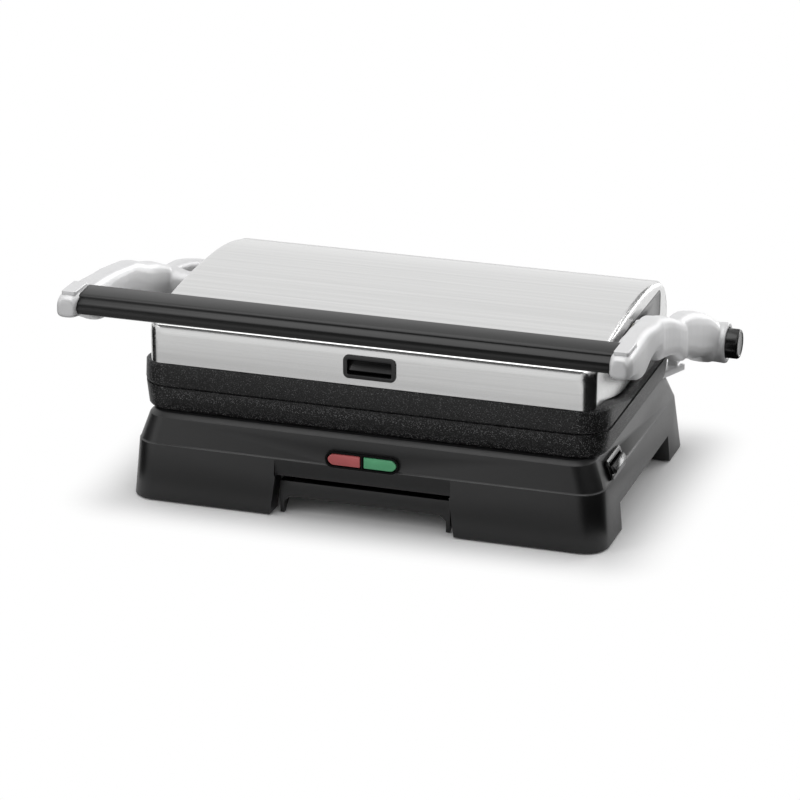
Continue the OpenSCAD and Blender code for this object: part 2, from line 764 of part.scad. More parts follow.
// Button, stem and hook are one moulding; the nose lies over a lug of the plate
lug_z = lower_z0 + 2.4;
module lower_release_button() {
    half_l = lower_latch_l / 2 - latch_frame - fit_gap;
    slip = button_travel * sin(side_lean);
    h = lower_latch_h - 2 * latch_frame - 2 * fit_gap - slip;
    stem_z = lower_latch_z;
    placed(trim_black) {
        on_side(-5) translate([-half_l, -(h + slip) / 2, 0]) rotate([90, 0, 90]) linear_extrude(2 * half_l)
            polygon([[0, 0], [h, 0], [h, 8.4], [h - 1.2, 9.4], [1.6, 10.6], [0, 9.8]]);
        block(lower_post_x0, lower_latch_x - 3, lower_latch_y - post_w / 2, lower_latch_y + post_w / 2,
            stem_z - 2, stem_z + 1.2);
        block(lower_post_x0, lower_post_x1, lower_latch_y - post_w / 2, lower_latch_y + post_w / 2,
            stem_z - 2, lug_z + 3.6);
        block(lower_post_x0, lower_post_x1 + 2.6, lower_latch_y - post_w / 2, lower_latch_y + post_w / 2,
            lug_z + fit_gap, lug_z + 3);
    }
}

module lower_release_spring() {
    placed(spring_grey) translate([lower_post_x0 - spring_room, lower_latch_y, lower_latch_z - 0.2]) rotate([0, 90, 0])
        coil_spring(2.6, 0.4, spring_room - 0.2, 4);
}

// ---------- lower plate ----------

cook_x = plate_x - plate_rim;
cook_y0 = plate_y0 + plate_rim;
cook_y1 = plate_y1 - plate_rim;
cook_r = plate_corner_r - plate_rim + 2;
gutter_w = 9;
plate_floor = 3.2;
lower_valley_z = lower_z1 - 6;
gutter_drop = 1.4;
drain_w = 26;

function plate_level(z, draw, r) =
    level(round_rect(-plate_x + draw, plate_x - draw, plate_y0 + draw * 0.5, plate_y1 - draw * 0.5, r), z);

// Ridges from front to back, rounded off by their sloped flanks and ends
module ridges(z, up) {
    count = floor((2 * cook_x - 2 * gutter_w - ridge_w) / ridge_pitch);
    len_y = cook_y1 - cook_y0 - 2 * gutter_w;
    for (i = [0 : count]) translate([(i - count / 2) * ridge_pitch, cook_y0 + gutter_w, z]) mirror([0, 0, up ? 0 : 1])
        intersection() {
            rotate([90, 0, 0]) mirror([0, 0, 1]) linear_extrude(len_y)
                polygon([[-ridge_w / 2, -1], [ridge_w / 2, -1], [ridge_w / 2, 0], [1.1, ridge_h], [-1.1, ridge_h],
                    [-ridge_w / 2, 0]]);
            rotate([90, 0, 90]) translate([0, 0, -ridge_w]) linear_extrude(2 * ridge_w)
                polygon([[0, -1], [len_y, -1], [len_y, 0], [len_y - 4, ridge_h], [4, ridge_h], [0, 0]]);
        }
}

// Bars cast under the cooking surface, one over each run of the heater
module heat_bars(z0, z1) {
    for (x = heater_runs) block(x - pad_w / 2, x + pad_w / 2, heater_y0 - 6, heater_y1 + 6, z0, z1);
}

module lower_plate() {
    hollow_z = lower_valley_z - gutter_drop - plate_floor;
    placed(plate_dark) difference() {
        union() {
            difference() {
                loft([
                    plate_level(lower_z0, 3, plate_corner_r - 1.6),
                    plate_level(lower_z0 + 1, 2, plate_corner_r - 1),
                    plate_level(lower_z1 - 1, 0.2, plate_corner_r),
                    plate_level(lower_z1, 1, plate_corner_r - 0.6)
                ]);
                round_block(-cook_x, cook_x, cook_y0, cook_y1, lower_valley_z - gutter_drop, lower_z1 + 1, cook_r);
                round_block(-plate_x + 11, plate_x - 11, plate_y0 + 7, plate_y1 - 7, lower_z0 - 1, hollow_z,
                    plate_corner_r - 8);
            }
            round_block(-cook_x + gutter_w, cook_x - gutter_w, cook_y0 + gutter_w, cook_y1 - gutter_w,
                hollow_z + 1, lower_valley_z, 4);
            ridges(lower_valley_z, true);
            heat_bars(lower_z0, hollow_z + 1);
            translate([thermostat_x, thermostat_y, lower_z0]) cylinder(r = 7, h = hollow_z + 1 - lower_z0);
            for (sx = [-1, 1]) translate([sx * tongue_x, 0, 0])
                block(-tongue_w / 2, tongue_w / 2, plate_y1 - 4, plate_y1 + tongue_reach, base_h + 2, base_h + 5.2);
            block(lower_post_x1 + fit_gap, plate_x - 10, lower_latch_y - 10, lower_latch_y + 10, lug_z - 2, lug_z);
        }
        round_block(-drain_w / 2, drain_w / 2, chute_y0 + 1, chute_y1 - 1, lower_z0 - 2, lower_z1, 2);
    }
}

// ---------- drip tray ----------

// Shallow pan that hangs on the rails; its front stands on two legs
tray_t = 2;
leg_l = 16;
module tray_leg() {
    translate([bay_x, rail_y0, 0]) rotate([90, 0, 90]) linear_extrude(leg_t)
        polygon([[0, 0.6], [3, 0.6], [leg_l - 5, tray_z0 - 4], [leg_l, tray_z0], [leg_l, tray_top_z], [0, tray_top_z]]);
}
module tray_front() {
    x = bay_x + leg_t;
    gusset = 4;
    translate([0, rail_y0, 0]) rotate([90, 0, 0]) mirror([0, 0, 1]) linear_extrude(tray_t + 0.6)
        polygon([[-x, 0.6], [-x, tray_top_z], [x, tray_top_z], [x, 0.6], [bay_x, 0.6], [bay_x, tray_z0 - gusset],
            [bay_x - gusset, tray_z0], [-bay_x + gusset, tray_z0], [-bay_x, tray_z0 - gusset], [-bay_x, 0.6]]);
}
module drip_tray() {
    x = tray_w / 2;
    y1 = rail_y0 + tray_d;
    placed(housing_black) difference() {
        union() {
            round_block(-x + ledge_w + 1, x - ledge_w - 1, rail_y0 + 1, y1, tray_z0, tray_top_z - 0.6, 6);
            block(-x, x, rail_y0 + 1, y1, tray_z0, tray_z0 + tray_t);
            block(-bay_x - 0.5, bay_x + 0.5, rail_y0 + 1, rail_y0 + leg_l, tray_z0, tray_z0 + tray_t);
            tray_front();
            both_sides() tray_leg();
        }
        round_block(-x + ledge_w + 1 + tray_t, x - ledge_w - 1 - tray_t, rail_y0 + 2 * tray_t + 0.6, y1 - tray_t,
            tray_z0 + tray_t, tray_top_z + 10, 5);
    }
}

// ---------- arms ----------

// Ring of an arm: a soft rectangle across the arm at y
arm_points = 20;
arm_square = 0.62;
function soft(v) = sign(v) * pow(abs(v), arm_square);
function arm_ring(y, z0, z1, x0, x1) = [
    for (i = [0 : arm_points - 1])
        let (a = 360 * i / arm_points)
        [(x0 + x1) / 2 + (x1 - x0) / 2 * soft(sin(a)), y, (z0 + z1) / 2 + (z1 - z0) / 2 * soft(cos(a))]
];

// Smooth curve through four neighbouring stations, u from 0 to 1 between b and c
function glide(a, b, c, d, u) =
    b + u * ((c - a) / 2 + u * ((2 * a - 5 * b + 4 * c - d) / 2 + u * (3 * b - a - 3 * c + d) / 2));
function stations(list, steps) = [
    for (k = [0 : len(list) - 2])
        for (s = [0 : steps - 1])
            let (a = list[max(k - 1, 0)], b = list[k], c = list[k + 1], d = list[min(k + 2, len(list) - 1)])
            [for (j = [0 : 4]) glide(a[j], b[j], c[j], d[j], s / steps)],
    list[len(list) - 1]
];

module arm_loft(list, steps) {
    loft([for (s = stations(list, steps)) arm_ring(s[0], s[1], s[2], s[3], s[4])]);
}

// Stations of the front part: y, lower z, upper z, inner x, outer x
end_x0 = arm_x0 + 7;
end_x1 = end_x0 + arm_w;
front_arm = [
    [grip_y - 3, grip_z - 4, grip_z + 9, end_x0 + 3, end_x1 - 7],
    [grip_y - 2, grip_z - 6.5, grip_z + 11.5, end_x0 + 2, end_x1 - 5.5],
    [grip_y + 4, grip_z - 9, grip_z + 14, end_x0, end_x1 - 4],
    [grip_y + 18, grip_z - 11.5, grip_z + 14.5, end_x0 - 2, end_x1 - 4],
    [grip_y + 35, grip_z - 15, grip_z + 14.5, end_x0 - 3, end_x1 - 5],
    [grip_y + 49, grip_z - 17.5, grip_z + 13.5, end_x0 - 3, end_x1 - 6],
    [grip_y + 63, grip_z - 12.5, grip_z + 12.5, end_x0 - 3.5, end_x1 - 6],
    [grip_y + 79, grip_z - 11.5, grip_z + 10, end_x0 - 3.5, end_x1 - 6],
    [pivot_y - 66, pivot_z + 12, pivot_z + 36, arm_x0 + 2, end_x1 - 7],
    [pivot_y - 58, pivot_z + 5, pivot_z + 34.3, arm_x0 + 1, end_x1 - 8],
    [pivot_y - 46, pivot_z - 1.5, pivot_z + 29.5, arm_x0, end_x1 - 10],
    [pivot_y - 27, pivot_z - 5.5, pivot_z + 24, arm_x0 + 0.5, end_x1 - 10],
    [pivot_y - 8, pivot_z - 10.5, pivot_z + 16, arm_x0 + 1, end_x1 - 9],
    [pivot_y + 12, pivot_z - 21.5, pivot_z + 8.5, arm_x0, end_x1 - 9.5],
    [pivot_y + 30, pivot_z - 27.5, pivot_z + 2.5, arm_x0 + 1, end_x1 - 12],
    [pivot_y + 38, pivot_z - 24, pivot_z - 3, arm_x0 + 3.5, end_x1 - 13.5]
];

// Stations of the rear part, which runs down to the barrel
rear_arm = [
    [pivot_y - 8, pivot_z - 5, pivot_z + 8, arm_x0 + 3.5, arm_x1 - 7.5],
    [pivot_y + 4, pivot_z - 15, pivot_z + 10, arm_x0 + 1.5, arm_x1 - 5],
    [pivot_y + 30, pivot_z - 24, pivot_z + 7, arm_x0, arm_x1 - 3],
    [hinge_y - 48, hinge_z + 3, hinge_z + 38, arm_x0 - 3, arm_x1 - 2],
    [hinge_y - 24, hinge_z - 4, hinge_z + 29, barrel_x0 + 1.5, arm_x1],
    [hinge_y - 8, hinge_z - barrel_r + 0.6, hinge_z + 19.5, barrel_x0 + 0.9, arm_x1 + 1.5],
    [hinge_y + 5, hinge_z - barrel_r + 1.6, hinge_z + 15, barrel_x0, arm_x1 + 0.5],
    [hinge_y + 9, hinge_z - 8, hinge_z + 9.5, barrel_x0 + 2, arm_x1 - 1]
];

button_bore_r = hinge_button_r + running_gap + 0.3;
button_bore_x = barrel_x1 - 13;
boss_r0 = 9;
boss_r1 = 12;
pivot_face_x = cover_x + 1.2;

// Boss that reaches in from the arm to the side of the cover, wider where it leaves the arm
module pivot_boss() {
    translate([0, pivot_y, pivot_z]) rotate([0, 90, 0]) rotate_extrude($fn = 48)
        polygon([[0, pivot_face_x], [boss_r0 - 0.6, pivot_face_x], [boss_r0, pivot_face_x + 0.6],
            [boss_r0 + 0.4, arm_x0 - 6], [boss_r1, arm_x0 + 1.5], [boss_r1, arm_x0 + 5], [0, arm_x0 + 5]]);
}

module barrel() {
    translate([0, hinge_y, hinge_z]) rotate([0, 90, 0]) rotate_extrude($fn = 64)
        polygon([[0, barrel_x0], [barrel_r - 1, barrel_x0], [barrel_r, barrel_x0 + 1], [barrel_r - 0.4, barrel_x1 - 14],
            [barrel_r + 0.4, barrel_x1 - 1], [barrel_r - 0.2, barrel_x1], [0, barrel_x1]]);
}

// Parts of the grip that end in the arm
rod_r = 5;
rod_y = grip_y + 13.5;
rod_z = grip_z + 6;
rod_end = end_x0 + 9;
socket_d = 2.5;

module arm() {
    difference() {
        union() {
            arm_loft(front_arm, 2);
            arm_loft(rear_arm, 2);
            barrel();
            pivot_boss();
        }
        x_rod(hinge_pin_r + running_gap, barrel_x0 - 1, button_bore_x - 2, hinge_y, hinge_z);
        x_rod(button_bore_r, button_bore_x, barrel_x1 + 1, hinge_y, hinge_z);
        x_rod(3.2, button_bore_x - 4, button_bore_x + 1, hinge_y, hinge_z);
        x_rod(pivot_pin_r, pivot_face_x - 1, arm_x0 + 10, pivot_y, pivot_z);
        grip_solid(0.05, end_x0 + socket_d);
        x_rod(rod_r, end_x0, rod_end, rod_y, rod_z);
        screw_cover_block(0.05);
    }
}

module arm_right() {
    placed(cast_silver) arm();
}
module arm_left() {
    placed(cast_silver) mirror([1, 0, 0]) arm();
}

// Small plugs on top of the arms over the screws that hold the grip
plug_y0 = grip_y + 2.5;
plug_l = 22;
plug_w = 10;
plug_z = grip_z + 12.2;
plug_mid_x = (end_x0 + end_x1) / 2 - 2;
module screw_cover_block(grow) {
    round_block(plug_mid_x - plug_w / 2 - grow, plug_mid_x + plug_w / 2 + grow, plug_y0 - grow,
        plug_y0 + plug_l + grow, plug_z, plug_z + 3.4, 1.5);
}
module arm_screw_covers() {
    placed(cast_silver) both_sides() screw_cover_block(0);
}

// ---------- grip ----------

// Outline of the bar in the YZ plane: flat top, groove, rounded front
bar_d = 26;
module grip_outline(grow) {
    offset(delta = grow) polygon([
        [2.5, 0], [bar_d - 3, -1.5], [bar_d, 1], [bar_d + 0.5, 11.5], [bar_d - 1.5, 14],
        [9, 12.8], [6.5, 11.8], [5.6, 10], [3.6, 9.2], [1.2, 7.6], [0, 4.6], [0.6, 1.6]
    ]);
}
module grip_solid(grow, half) {
    translate([-half, grip_y, grip_z]) rotate([90, 0, 90]) linear_extrude(2 * half) grip_outline(grow);
}
module grip_bar() {
    placed(trim_black) difference() {
        grip_solid(0, end_x0 + socket_d - 0.1);
        x_rod(rod_r, -end_x1, end_x1, rod_y, rod_z);
    }
}
module grip_rod() {
    placed(tin) difference() {
        x_rod(rod_r - 0.02, -rod_end + 0.1, rod_end - 0.1, rod_y, rod_z);
        x_rod(rod_r - 1.2, -end_x1, end_x1, rod_y, rod_z);
    }
}

// ---------- lid pivots ----------

side_plate_t = 1.2;
bush_r = pivot_pin_r + 2.4;
web_x0 = cover_x - 10.2;
web_x1 = cover_x - 6;
pin_in_x = web_x0 - 5;
module lid_pivot_pins() {
    placed(tin) both_sides() difference() {
        x_rod(pivot_pin_r, pin_in_x, arm_x0 + 9.9, pivot_y, pivot_z);
        difference() {
            x_rod(pivot_pin_r + 1, pin_in_x + 1.5, pin_in_x + 2.6, pivot_y, pivot_z);
            x_rod(pivot_pin_r - 0.8, pin_in_x + 1, pin_in_x + 3, pivot_y, pivot_z);
        }
    }
}
module pivot_clips() {
    placed(spring_grey) both_sides() difference() {
        x_rod(pivot_pin_r + 2.6, pin_in_x + 1.6, pin_in_x + 2.5, pivot_y, pivot_z);
        x_rod(pivot_pin_r - 0.75, pin_in_x, pin_in_x + 4, pivot_y, pivot_z);
        block(pin_in_x, pin_in_x + 4, pivot_y - pivot_pin_r + 1, pivot_y + pivot_pin_r - 1, pivot_z, pivot_z + 12);
    }
}
module pivot_bushings() {
    placed([0.88, 0.87, 0.82]) both_sides() difference() {
        union() {
            x_rod(bush_r, web_x0 - 1.6, cover_x + 0.6, pivot_y, pivot_z);
            x_rod(bush_r + 2, web_x0 - 1.6, web_x0 - 0.1, pivot_y, pivot_z);
        }
        x_rod(pivot_pin_r + running_gap, pin_in_x, cover_x + 5, pivot_y, pivot_z);
    }
}

// ---------- steel cover of the lid ----------

crown_y = plate_y0 + 0.6 * (plate_y1 - plate_y0);
roll_y = cover_y1 - 20;
cover_steps = 22;
corner_steps = 5;
rear_fall = 6.9;
roll_drop = 24;
nose_r = 5;

// Height of the top sheet along Y: quick rise at the front, crown, fall, rolled back
function rise(t) = 1 - pow(1 - t, 2.6);
function cover_top(y) =
    y < cover_y0 + nose_r
        ? front_top_z - nose_r + nose_r * sqrt(1 - pow(1 - (y - cover_y0) / nose_r, 2))
        : y < crown_y
            ? front_top_z + crown_h * rise((y - cover_y0 - nose_r) / (crown_y - cover_y0 - nose_r))
            : y < roll_y
                ? front_top_z + crown_h - rear_fall * pow((y - crown_y) / (roll_y - crown_y), 2.5)
                : front_top_z + crown_h - rear_fall - roll_drop * (1 - sqrt(1 - pow((y - roll_y) / (cover_y1 - roll_y + 0.2), 2)));
function ease(t) = t <= 0 ? 0 : t >= 1 ? 1 : t * t * (3 - 2 * t);
dip_y0 = plate_y0 + 14;
dip_y1 = plate_y0 + 78;
function cover_edge(y) = cover_z - cover_dip * ease((y - dip_y0) / (dip_y1 - dip_y0));
function corner_in(y) = y < cover_y0 + cover_corner_r
    ? cover_corner_r - sqrt(pow(cover_corner_r, 2) - pow(cover_corner_r - (y - cover_y0), 2))
    : 0;
function cover_ring(y, inset, z0) =
    let (x = cover_x - inset - corner_in(y - inset), zt = cover_top(y - inset * 0.8) - inset, r = cover_bend_r - inset * 0.6)
    concat(
        [for (i = [0 : corner_steps]) let (a = 90 * i / corner_steps) [x - r + r * sin(a), y, zt - r + r * cos(a)]],
        [[x, y, z0], [-x, y, z0]],
        [for (i = [0 : corner_steps]) let (a = 90 - 90 * i / corner_steps) [-x + r - r * sin(a), y, zt - r + r * cos(a)]]
    );
cover_ys = concat(
    [for (i = [0 : 5]) cover_y0 + 0.02 + cover_corner_r * (1 - cos(90 * i / 5))],
    [for (i = [1 : cover_steps]) cover_y0 + cover_corner_r + (roll_y - cover_y0 - cover_corner_r) * i / cover_steps],
    [for (i = [1 : 5]) roll_y + (cover_y1 - roll_y) * sin(90 * i / 5)]
);

side_window_y0 = plate_y0 + 68;
side_window_y1 = cover_y1 - 19;
side_window_z0 = pivot_z - 14;
side_window_z1 = pivot_z + 7.5;
module side_window(grow, x0, x1) {
    translate([x0, 0, 0]) rotate([90, 0, 90]) linear_extrude(x1 - x0)
        polygon(round_rect(side_window_y0 - grow, side_window_y1 + grow, side_window_z0 - grow, side_window_z1 + grow, 6 + grow));
}

upper_latch_x = 2.3;
upper_latch_z = cover_z + 13;
module upper_latch_hole(grow, y0, y1) {
    translate([0, y0, 0]) rotate([90, 0, 0]) mirror([0, 0, 1]) linear_extrude(y1 - y0)
        polygon(round_rect(upper_latch_x - upper_latch_w / 2 - grow, upper_latch_x + upper_latch_w / 2 + grow,
            upper_latch_z - upper_latch_h / 2 - grow, upper_latch_z + upper_latch_h / 2 + grow, 4 + grow));
}

module lid_cover() {
    placed(steel) difference() {
        loft([for (y = cover_ys) cover_ring(y, 0, cover_edge(y))]);
        loft(concat(
            [for (y = cover_ys) if (y > cover_y0 + 1 && y < cover_y1 - 1) cover_ring(y + 0.4, sheet, cover_z - 30)],
            [cover_ring(cover_y1 - 0.5, sheet, cover_z - 30)]
        ));
        upper_latch_hole(-1.4, cover_y0 - 3, cover_y0 + 12);
        both_sides() side_window(0, cover_x - 12, cover_x + 2);
        block(-cover_x + 5, cover_x - 5, cover_y1 - 6, cover_y1 + 3, cover_z - 40, cover_z + 8);
    }
}

module lid_side_plates() {
    placed(trim_black) both_sides() difference() {
        union() {
            side_window(-0.15, cover_x - sheet - 1, cover_x - 0.1);
            side_window(1.6, cover_x - sheet - 1.7, cover_x - sheet - 0.3);
        }
        x_rod(bush_r + 0.02, cover_x - 10, cover_x + 5, pivot_y, pivot_z);
    }
}

// ---------- inside of the lid ----------

frame_x = cover_x - sheet - 2.2;
frame_y0 = cover_y0 + sheet + 6.5;
frame_y1 = cover_y1 - 9;
frame_z0 = upper_z1 + fit_gap;
frame_wall = 2.4;
upper_heater_z = upper_z1 + fit_gap / 2 + heater_r;
upper_reflector_z = upper_heater_z + heater_r + 1.6;
frame_floor_z = upper_reflector_z + 1.4;
// Where the release of the upper plate reaches into the lid
lip_z0 = upper_z1 - 3;
lip_reach = 2.4;
front_wall_y = plate_y0 + 5;
post_y1 = front_wall_y + lip_reach + fit_gap + 3;
stop_y = post_y1 + spring_room;
frame_post_xy = [for (sx = [-1, 1]) for (y = [plate_y0 + 46, plate_y1 - 52]) [sx * between_runs_x, y]];

module lid_frame() {
    placed(trim_black) difference() {
        union() {
            difference() {
                round_block(-frame_x, frame_x, frame_y0, frame_y1, frame_z0, frame_floor_z + 2, 10);
                round_block(-frame_x + frame_wall, frame_x - frame_wall, frame_y0 + frame_wall, frame_y1 - frame_wall,
                    frame_z0 - 1, frame_floor_z, 8);
            }
            for (p = frame_post_xy) translate([p[0], p[1], frame_floor_z]) cylinder(r = 5, h = cover_top(p[1] - 5) - sheet - frame_floor_z - 1.2);
            for (p = frame_post_xy) translate([p[0], p[1], upper_reflector_z + 0.8]) cylinder(r = 5, h = 4);
            both_sides() block(web_x0, web_x1, pivot_y - 13, pivot_y + 13, frame_floor_z, pivot_z + 9.5);
            block(upper_latch_x - 6, upper_latch_x + 6, stop_y, stop_y + 2, frame_floor_z, upper_latch_z + 3.5);
        }
        for (p = frame_post_xy) translate([p[0], p[1], frame_z0 - 1]) cylinder(r = boss_hole_r, h = frame_floor_z - frame_z0 + 12, $fn = 24);
        both_sides() x_rod(bush_r + 0.02, web_x0 - 1, web_x1 + 1, pivot_y, pivot_z);
        block(upper_latch_x - upper_latch_w / 2, upper_latch_x + upper_latch_w / 2, frame_y0 - 1,
            frame_y0 + 7 + button_travel, frame_z0 - 2, frame_floor_z + 4);
    }
}

frame_screw_l = 13;
module frame_screws() {
    placed(tin) for (p = frame_post_xy) translate([p[0], p[1], upper_reflector_z - 2.3]) {
        cylinder(r1 = 2.8, r2 = 3.2, h = 2.25);
        cylinder(r = boss_hole_r - 0.02, h = frame_screw_l);
    }
}

release_room = 14;
module upper_reflector() {
    placed(tin) difference() {
        round_block(-frame_x + frame_wall + 0.3, frame_x - frame_wall - 0.3, frame_y0 + frame_wall + release_room,
            frame_y1 - frame_wall - 0.3, upper_reflector_z, upper_reflector_z + 0.8, 7);
        for (p = frame_post_xy) translate([p[0], p[1], upper_reflector_z - 1]) cylinder(r = boss_hole_r + 0.2, h = 3, $fn = 24);
    }
}

module upper_heater() {
    placed([0.36, 0.35, 0.34]) heater(upper_heater_z);
}
module upper_heater_clips() {
    placed(steel) heater_clips(upper_heater_z, upper_reflector_z);
}
fuse_back = 20;
module upper_thermal_fuse() {
    placed([0.85, 0.84, 0.8]) translate([0, thermostat_y + fuse_back, upper_reflector_z - 4.2]) {
        x_rod(2.6, -10, 10, 0, 1.6);
        translate([-3, -4, 1.6]) cube([6, 8, 2.6]);
    }
}

cap_y0 = plate_y1 + fit_gap;
cap_z0 = cover_z - cover_dip + 1.4;
cap_z1 = cover_z + 15;
module lid_rear_cap() {
    half = cover_x - sheet - 0.6;
    placed(trim_black) difference() {
        union() {
            block(-half, half, cap_y0, cap_y0 + 2.4, cap_z0, cover_z + 7.4);
            translate([0, cap_y0, 0]) rotate([90, 0, 0]) mirror([0, 0, 1]) linear_extrude(cover_y1 + 3.4 - cap_y0)
                polygon(round_rect(-cover_x + 5.6, cover_x - 5.6, cap_z0 + 0.6, cover_z + 7.4, 3));
        }
        for (sx = [-1, 1])
            block(sx * tongue_x - tongue_w / 2 - fit_gap, sx * tongue_x + tongue_w / 2 + fit_gap, cap_y0 - 1,
                plate_y1 + tongue_reach + 1, upper_z1 - 4.6, upper_z1 - 0.6);
        block(-cover_x + 9, cover_x - 9, cap_y0 + 2.4, cover_y1 + 1, cap_z0 + 3, cover_z + 5);
    }
}

// ---------- upper plate release, in the front of the lid ----------

upper_bezel_t = 3;
module upper_latch_bezel() {
    placed(trim_black) difference() {
        union() {
            upper_latch_hole(0, cover_y0 - 1.3, cover_y0 - 0.05);
            upper_latch_hole(-1.5, cover_y0 - 0.5, cover_y0 + 5.5);
        }
        upper_latch_hole(-upper_bezel_t, cover_y0 - 4, cover_y0 + 9);
    }
}

// The nose of the hook lies under a lip inside the front wall of the plate
module upper_release_button() {
    inner = upper_bezel_t + fit_gap;
    x0 = upper_latch_x - upper_latch_w / 2 + inner;
    x1 = upper_latch_x + upper_latch_w / 2 - inner;
    z0 = upper_latch_z - upper_latch_h / 2 + inner;
    z1 = upper_latch_z + upper_latch_h / 2 - inner;
    post_y0 = post_y1 - 3;
    placed(trim_black) {
        translate([x0, cover_y0, 0]) rotate([90, 0, 90]) linear_extrude(x1 - x0)
            polygon([[2.6, z0], [0.4, z0 + 2.2], [3.6, z1], [7, z1], [7, z0]]);
        block(upper_latch_x - 6, upper_latch_x + 6, cover_y0 + 6, post_y1, upper_latch_z - 2, upper_latch_z + 1);
        block(upper_latch_x - 6, upper_latch_x + 6, post_y0, post_y1, lip_z0 - 2.2, upper_latch_z);
        block(upper_latch_x - 6, upper_latch_x + 6, front_wall_y + fit_gap, post_y0 + 1, lip_z0 - 2.2, lip_z0 - fit_gap);
    }
}

module upper_release_spring() {
    placed(spring_grey) translate([upper_latch_x, post_y1 + 0.1, upper_latch_z - 0.5]) rotate([-90, 0, 0])
        coil_spring(2.6, 0.4, spring_room - 0.2, 4);
}

// ---------- upper plate ----------

upper_valley_z = upper_z0 + 5.2;
function plate_top(y) = cover_edge(y) - fit_gap - 2 * ease((y - dip_y0) / (dip_y1 - dip_y0));
flange_steps = 16;

// The lip of the upper plate follows the lower edge of the cover along the sides
module upper_flange() {
    ys = concat([for (i = [0 : 5]) plate_y0 + plate_corner_r * (1 - cos(90 * i / 5))],
        [for (i = [1 : flange_steps]) plate_y0 + plate_corner_r + (plate_y1 - plate_y0 - 2 * plate_corner_r) * i / flange_steps],
        [for (i = [1 : 5]) plate_y1 - plate_corner_r + plate_corner_r * sin(90 * i / 5)]);
    loft([for (y = ys)
        let (d = y < plate_y0 + plate_corner_r ? plate_y0 + plate_corner_r - y
                : y > plate_y1 - plate_corner_r ? y - plate_y1 + plate_corner_r : 0,
            x = plate_x - plate_corner_r + sqrt(max(plate_corner_r * plate_corner_r - d * d, 0.01)),
            zt = plate_top(y))
        [[x - 2.6, y, zt], [x - 0.6, y, zt - 1.6], [x, y, upper_z0 + 1], [x - 0.8, y, upper_z0],
            [-x + 0.8, y, upper_z0], [-x, y, upper_z0 + 1], [-x + 0.6, y, zt - 1.6], [-x + 2.6, y, zt]]]);
}

module upper_plate() {
    inner_x = cover_x - sheet - 1;
    hollow_z = upper_valley_z + gutter_drop + plate_floor;
    placed(plate_dark) difference() {
        union() {
            difference() {
                union() {
                    upper_flange();
                    round_block(-inner_x, inner_x, plate_y0 + 1.2, plate_y1 - 1, upper_z0 + 2, upper_z1, plate_corner_r - 6);
                }
                round_block(-cook_x, cook_x, cook_y0, cook_y1, upper_z0 - 1, upper_valley_z + gutter_drop, cook_r);
                round_block(-plate_x + 13, plate_x - 13, front_wall_y, plate_y1 - 6, hollow_z, upper_z1 + 1,
                    plate_corner_r - 10);
            }
            round_block(-cook_x + gutter_w, cook_x - gutter_w, cook_y0 + gutter_w, cook_y1 - gutter_w,
                upper_valley_z, hollow_z - 1, 4);
            ridges(upper_valley_z, false);
            heat_bars(hollow_z - 1, upper_z1);
            for (sx = [-1, 1]) translate([sx * tongue_x, 0, 0])
                block(-tongue_w / 2, tongue_w / 2, plate_y1 - 3, plate_y1 + tongue_reach, upper_z1 - 4, upper_z1 - 1.2);
            block(upper_latch_x - 10, upper_latch_x + 10, front_wall_y - 1, front_wall_y + lip_reach, lip_z0, lip_z0 + 2.2);
        }
    }
}

// ---------- hinge release ----------

button_out = 8.8;
module hinge_release_button() {
    placed(trim_black) translate([button_bore_x + button_travel + 0.4, hinge_y, hinge_z]) rotate([0, 90, 0]) {
        end = barrel_x1 + button_out - button_bore_x - button_travel - 0.4;
        rotate_extrude($fn = 64) polygon([[0, 0], [hinge_button_r, 0], [hinge_button_r, end - 1.6], [hinge_button_r - 0.5, end - 0.5],
            [hinge_button_r - 1.4, end], [hinge_button_r - 2.2, end], [hinge_button_r - 2.4, end - 0.5], [0, end - 0.5]]);
        translate([0, 0, -button_travel - 3.4]) cylinder(r = 3.1, h = button_travel + 4);
    }
}
module hinge_release_spring() {
    placed(spring_grey) translate([button_bore_x + 0.1, hinge_y, hinge_z]) rotate([0, 90, 0])
        coil_spring(5, 0.35, button_travel + 0.2, 2);
}
plug_r = button_bore_r - 0.06;
module hinge_end_cap() {
    placed(trim_black) mirror([1, 0, 0]) translate([button_bore_x + 1, hinge_y, hinge_z]) rotate([0, 90, 0])
        rotate_extrude($fn = 64) polygon(concat([[0, 0], [plug_r, 0]],
            [for (i = [0 : 8]) let (a = 90 * i / 8) [plug_r * cos(a), barrel_x1 - button_bore_x - 1 + 5 * sin(a)]]));
}

// ---------- the nodes ----------

lower_housing();
deck_housing();
bottom_cover();
rubber_feet();
base_screws();
indicator_bezel();
red_lens();
green_lens();
lamp_board();
lower_reflector();
lower_heater();
lower_heater_clips();
lower_thermostat();
terminal_block();
cord_gland();
hinge_bracket_left();
hinge_bracket_right();
hinge_pins();
bracket_screws();
lower_latch_bezel();
lower_release_button();
lower_release_spring();
lower_plate();
drip_tray();
arm_left();
arm_right();
grip_bar();
grip_rod();
arm_screw_covers();
lid_pivot_pins();
pivot_clips();
hinge_washers();
hinge_end_cap();
hinge_release_button();
hinge_release_spring();
lid_cover();
lid_frame();
lid_rear_cap();
lid_side_plates();
pivot_bushings();
upper_reflector();
upper_heater();
upper_heater_clips();
upper_thermal_fuse();
frame_screws();
upper_latch_bezel();
upper_release_button();
upper_release_spring();
upper_plate();
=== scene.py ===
import math

import bmesh
import bpy
from mathutils import Matrix, Vector


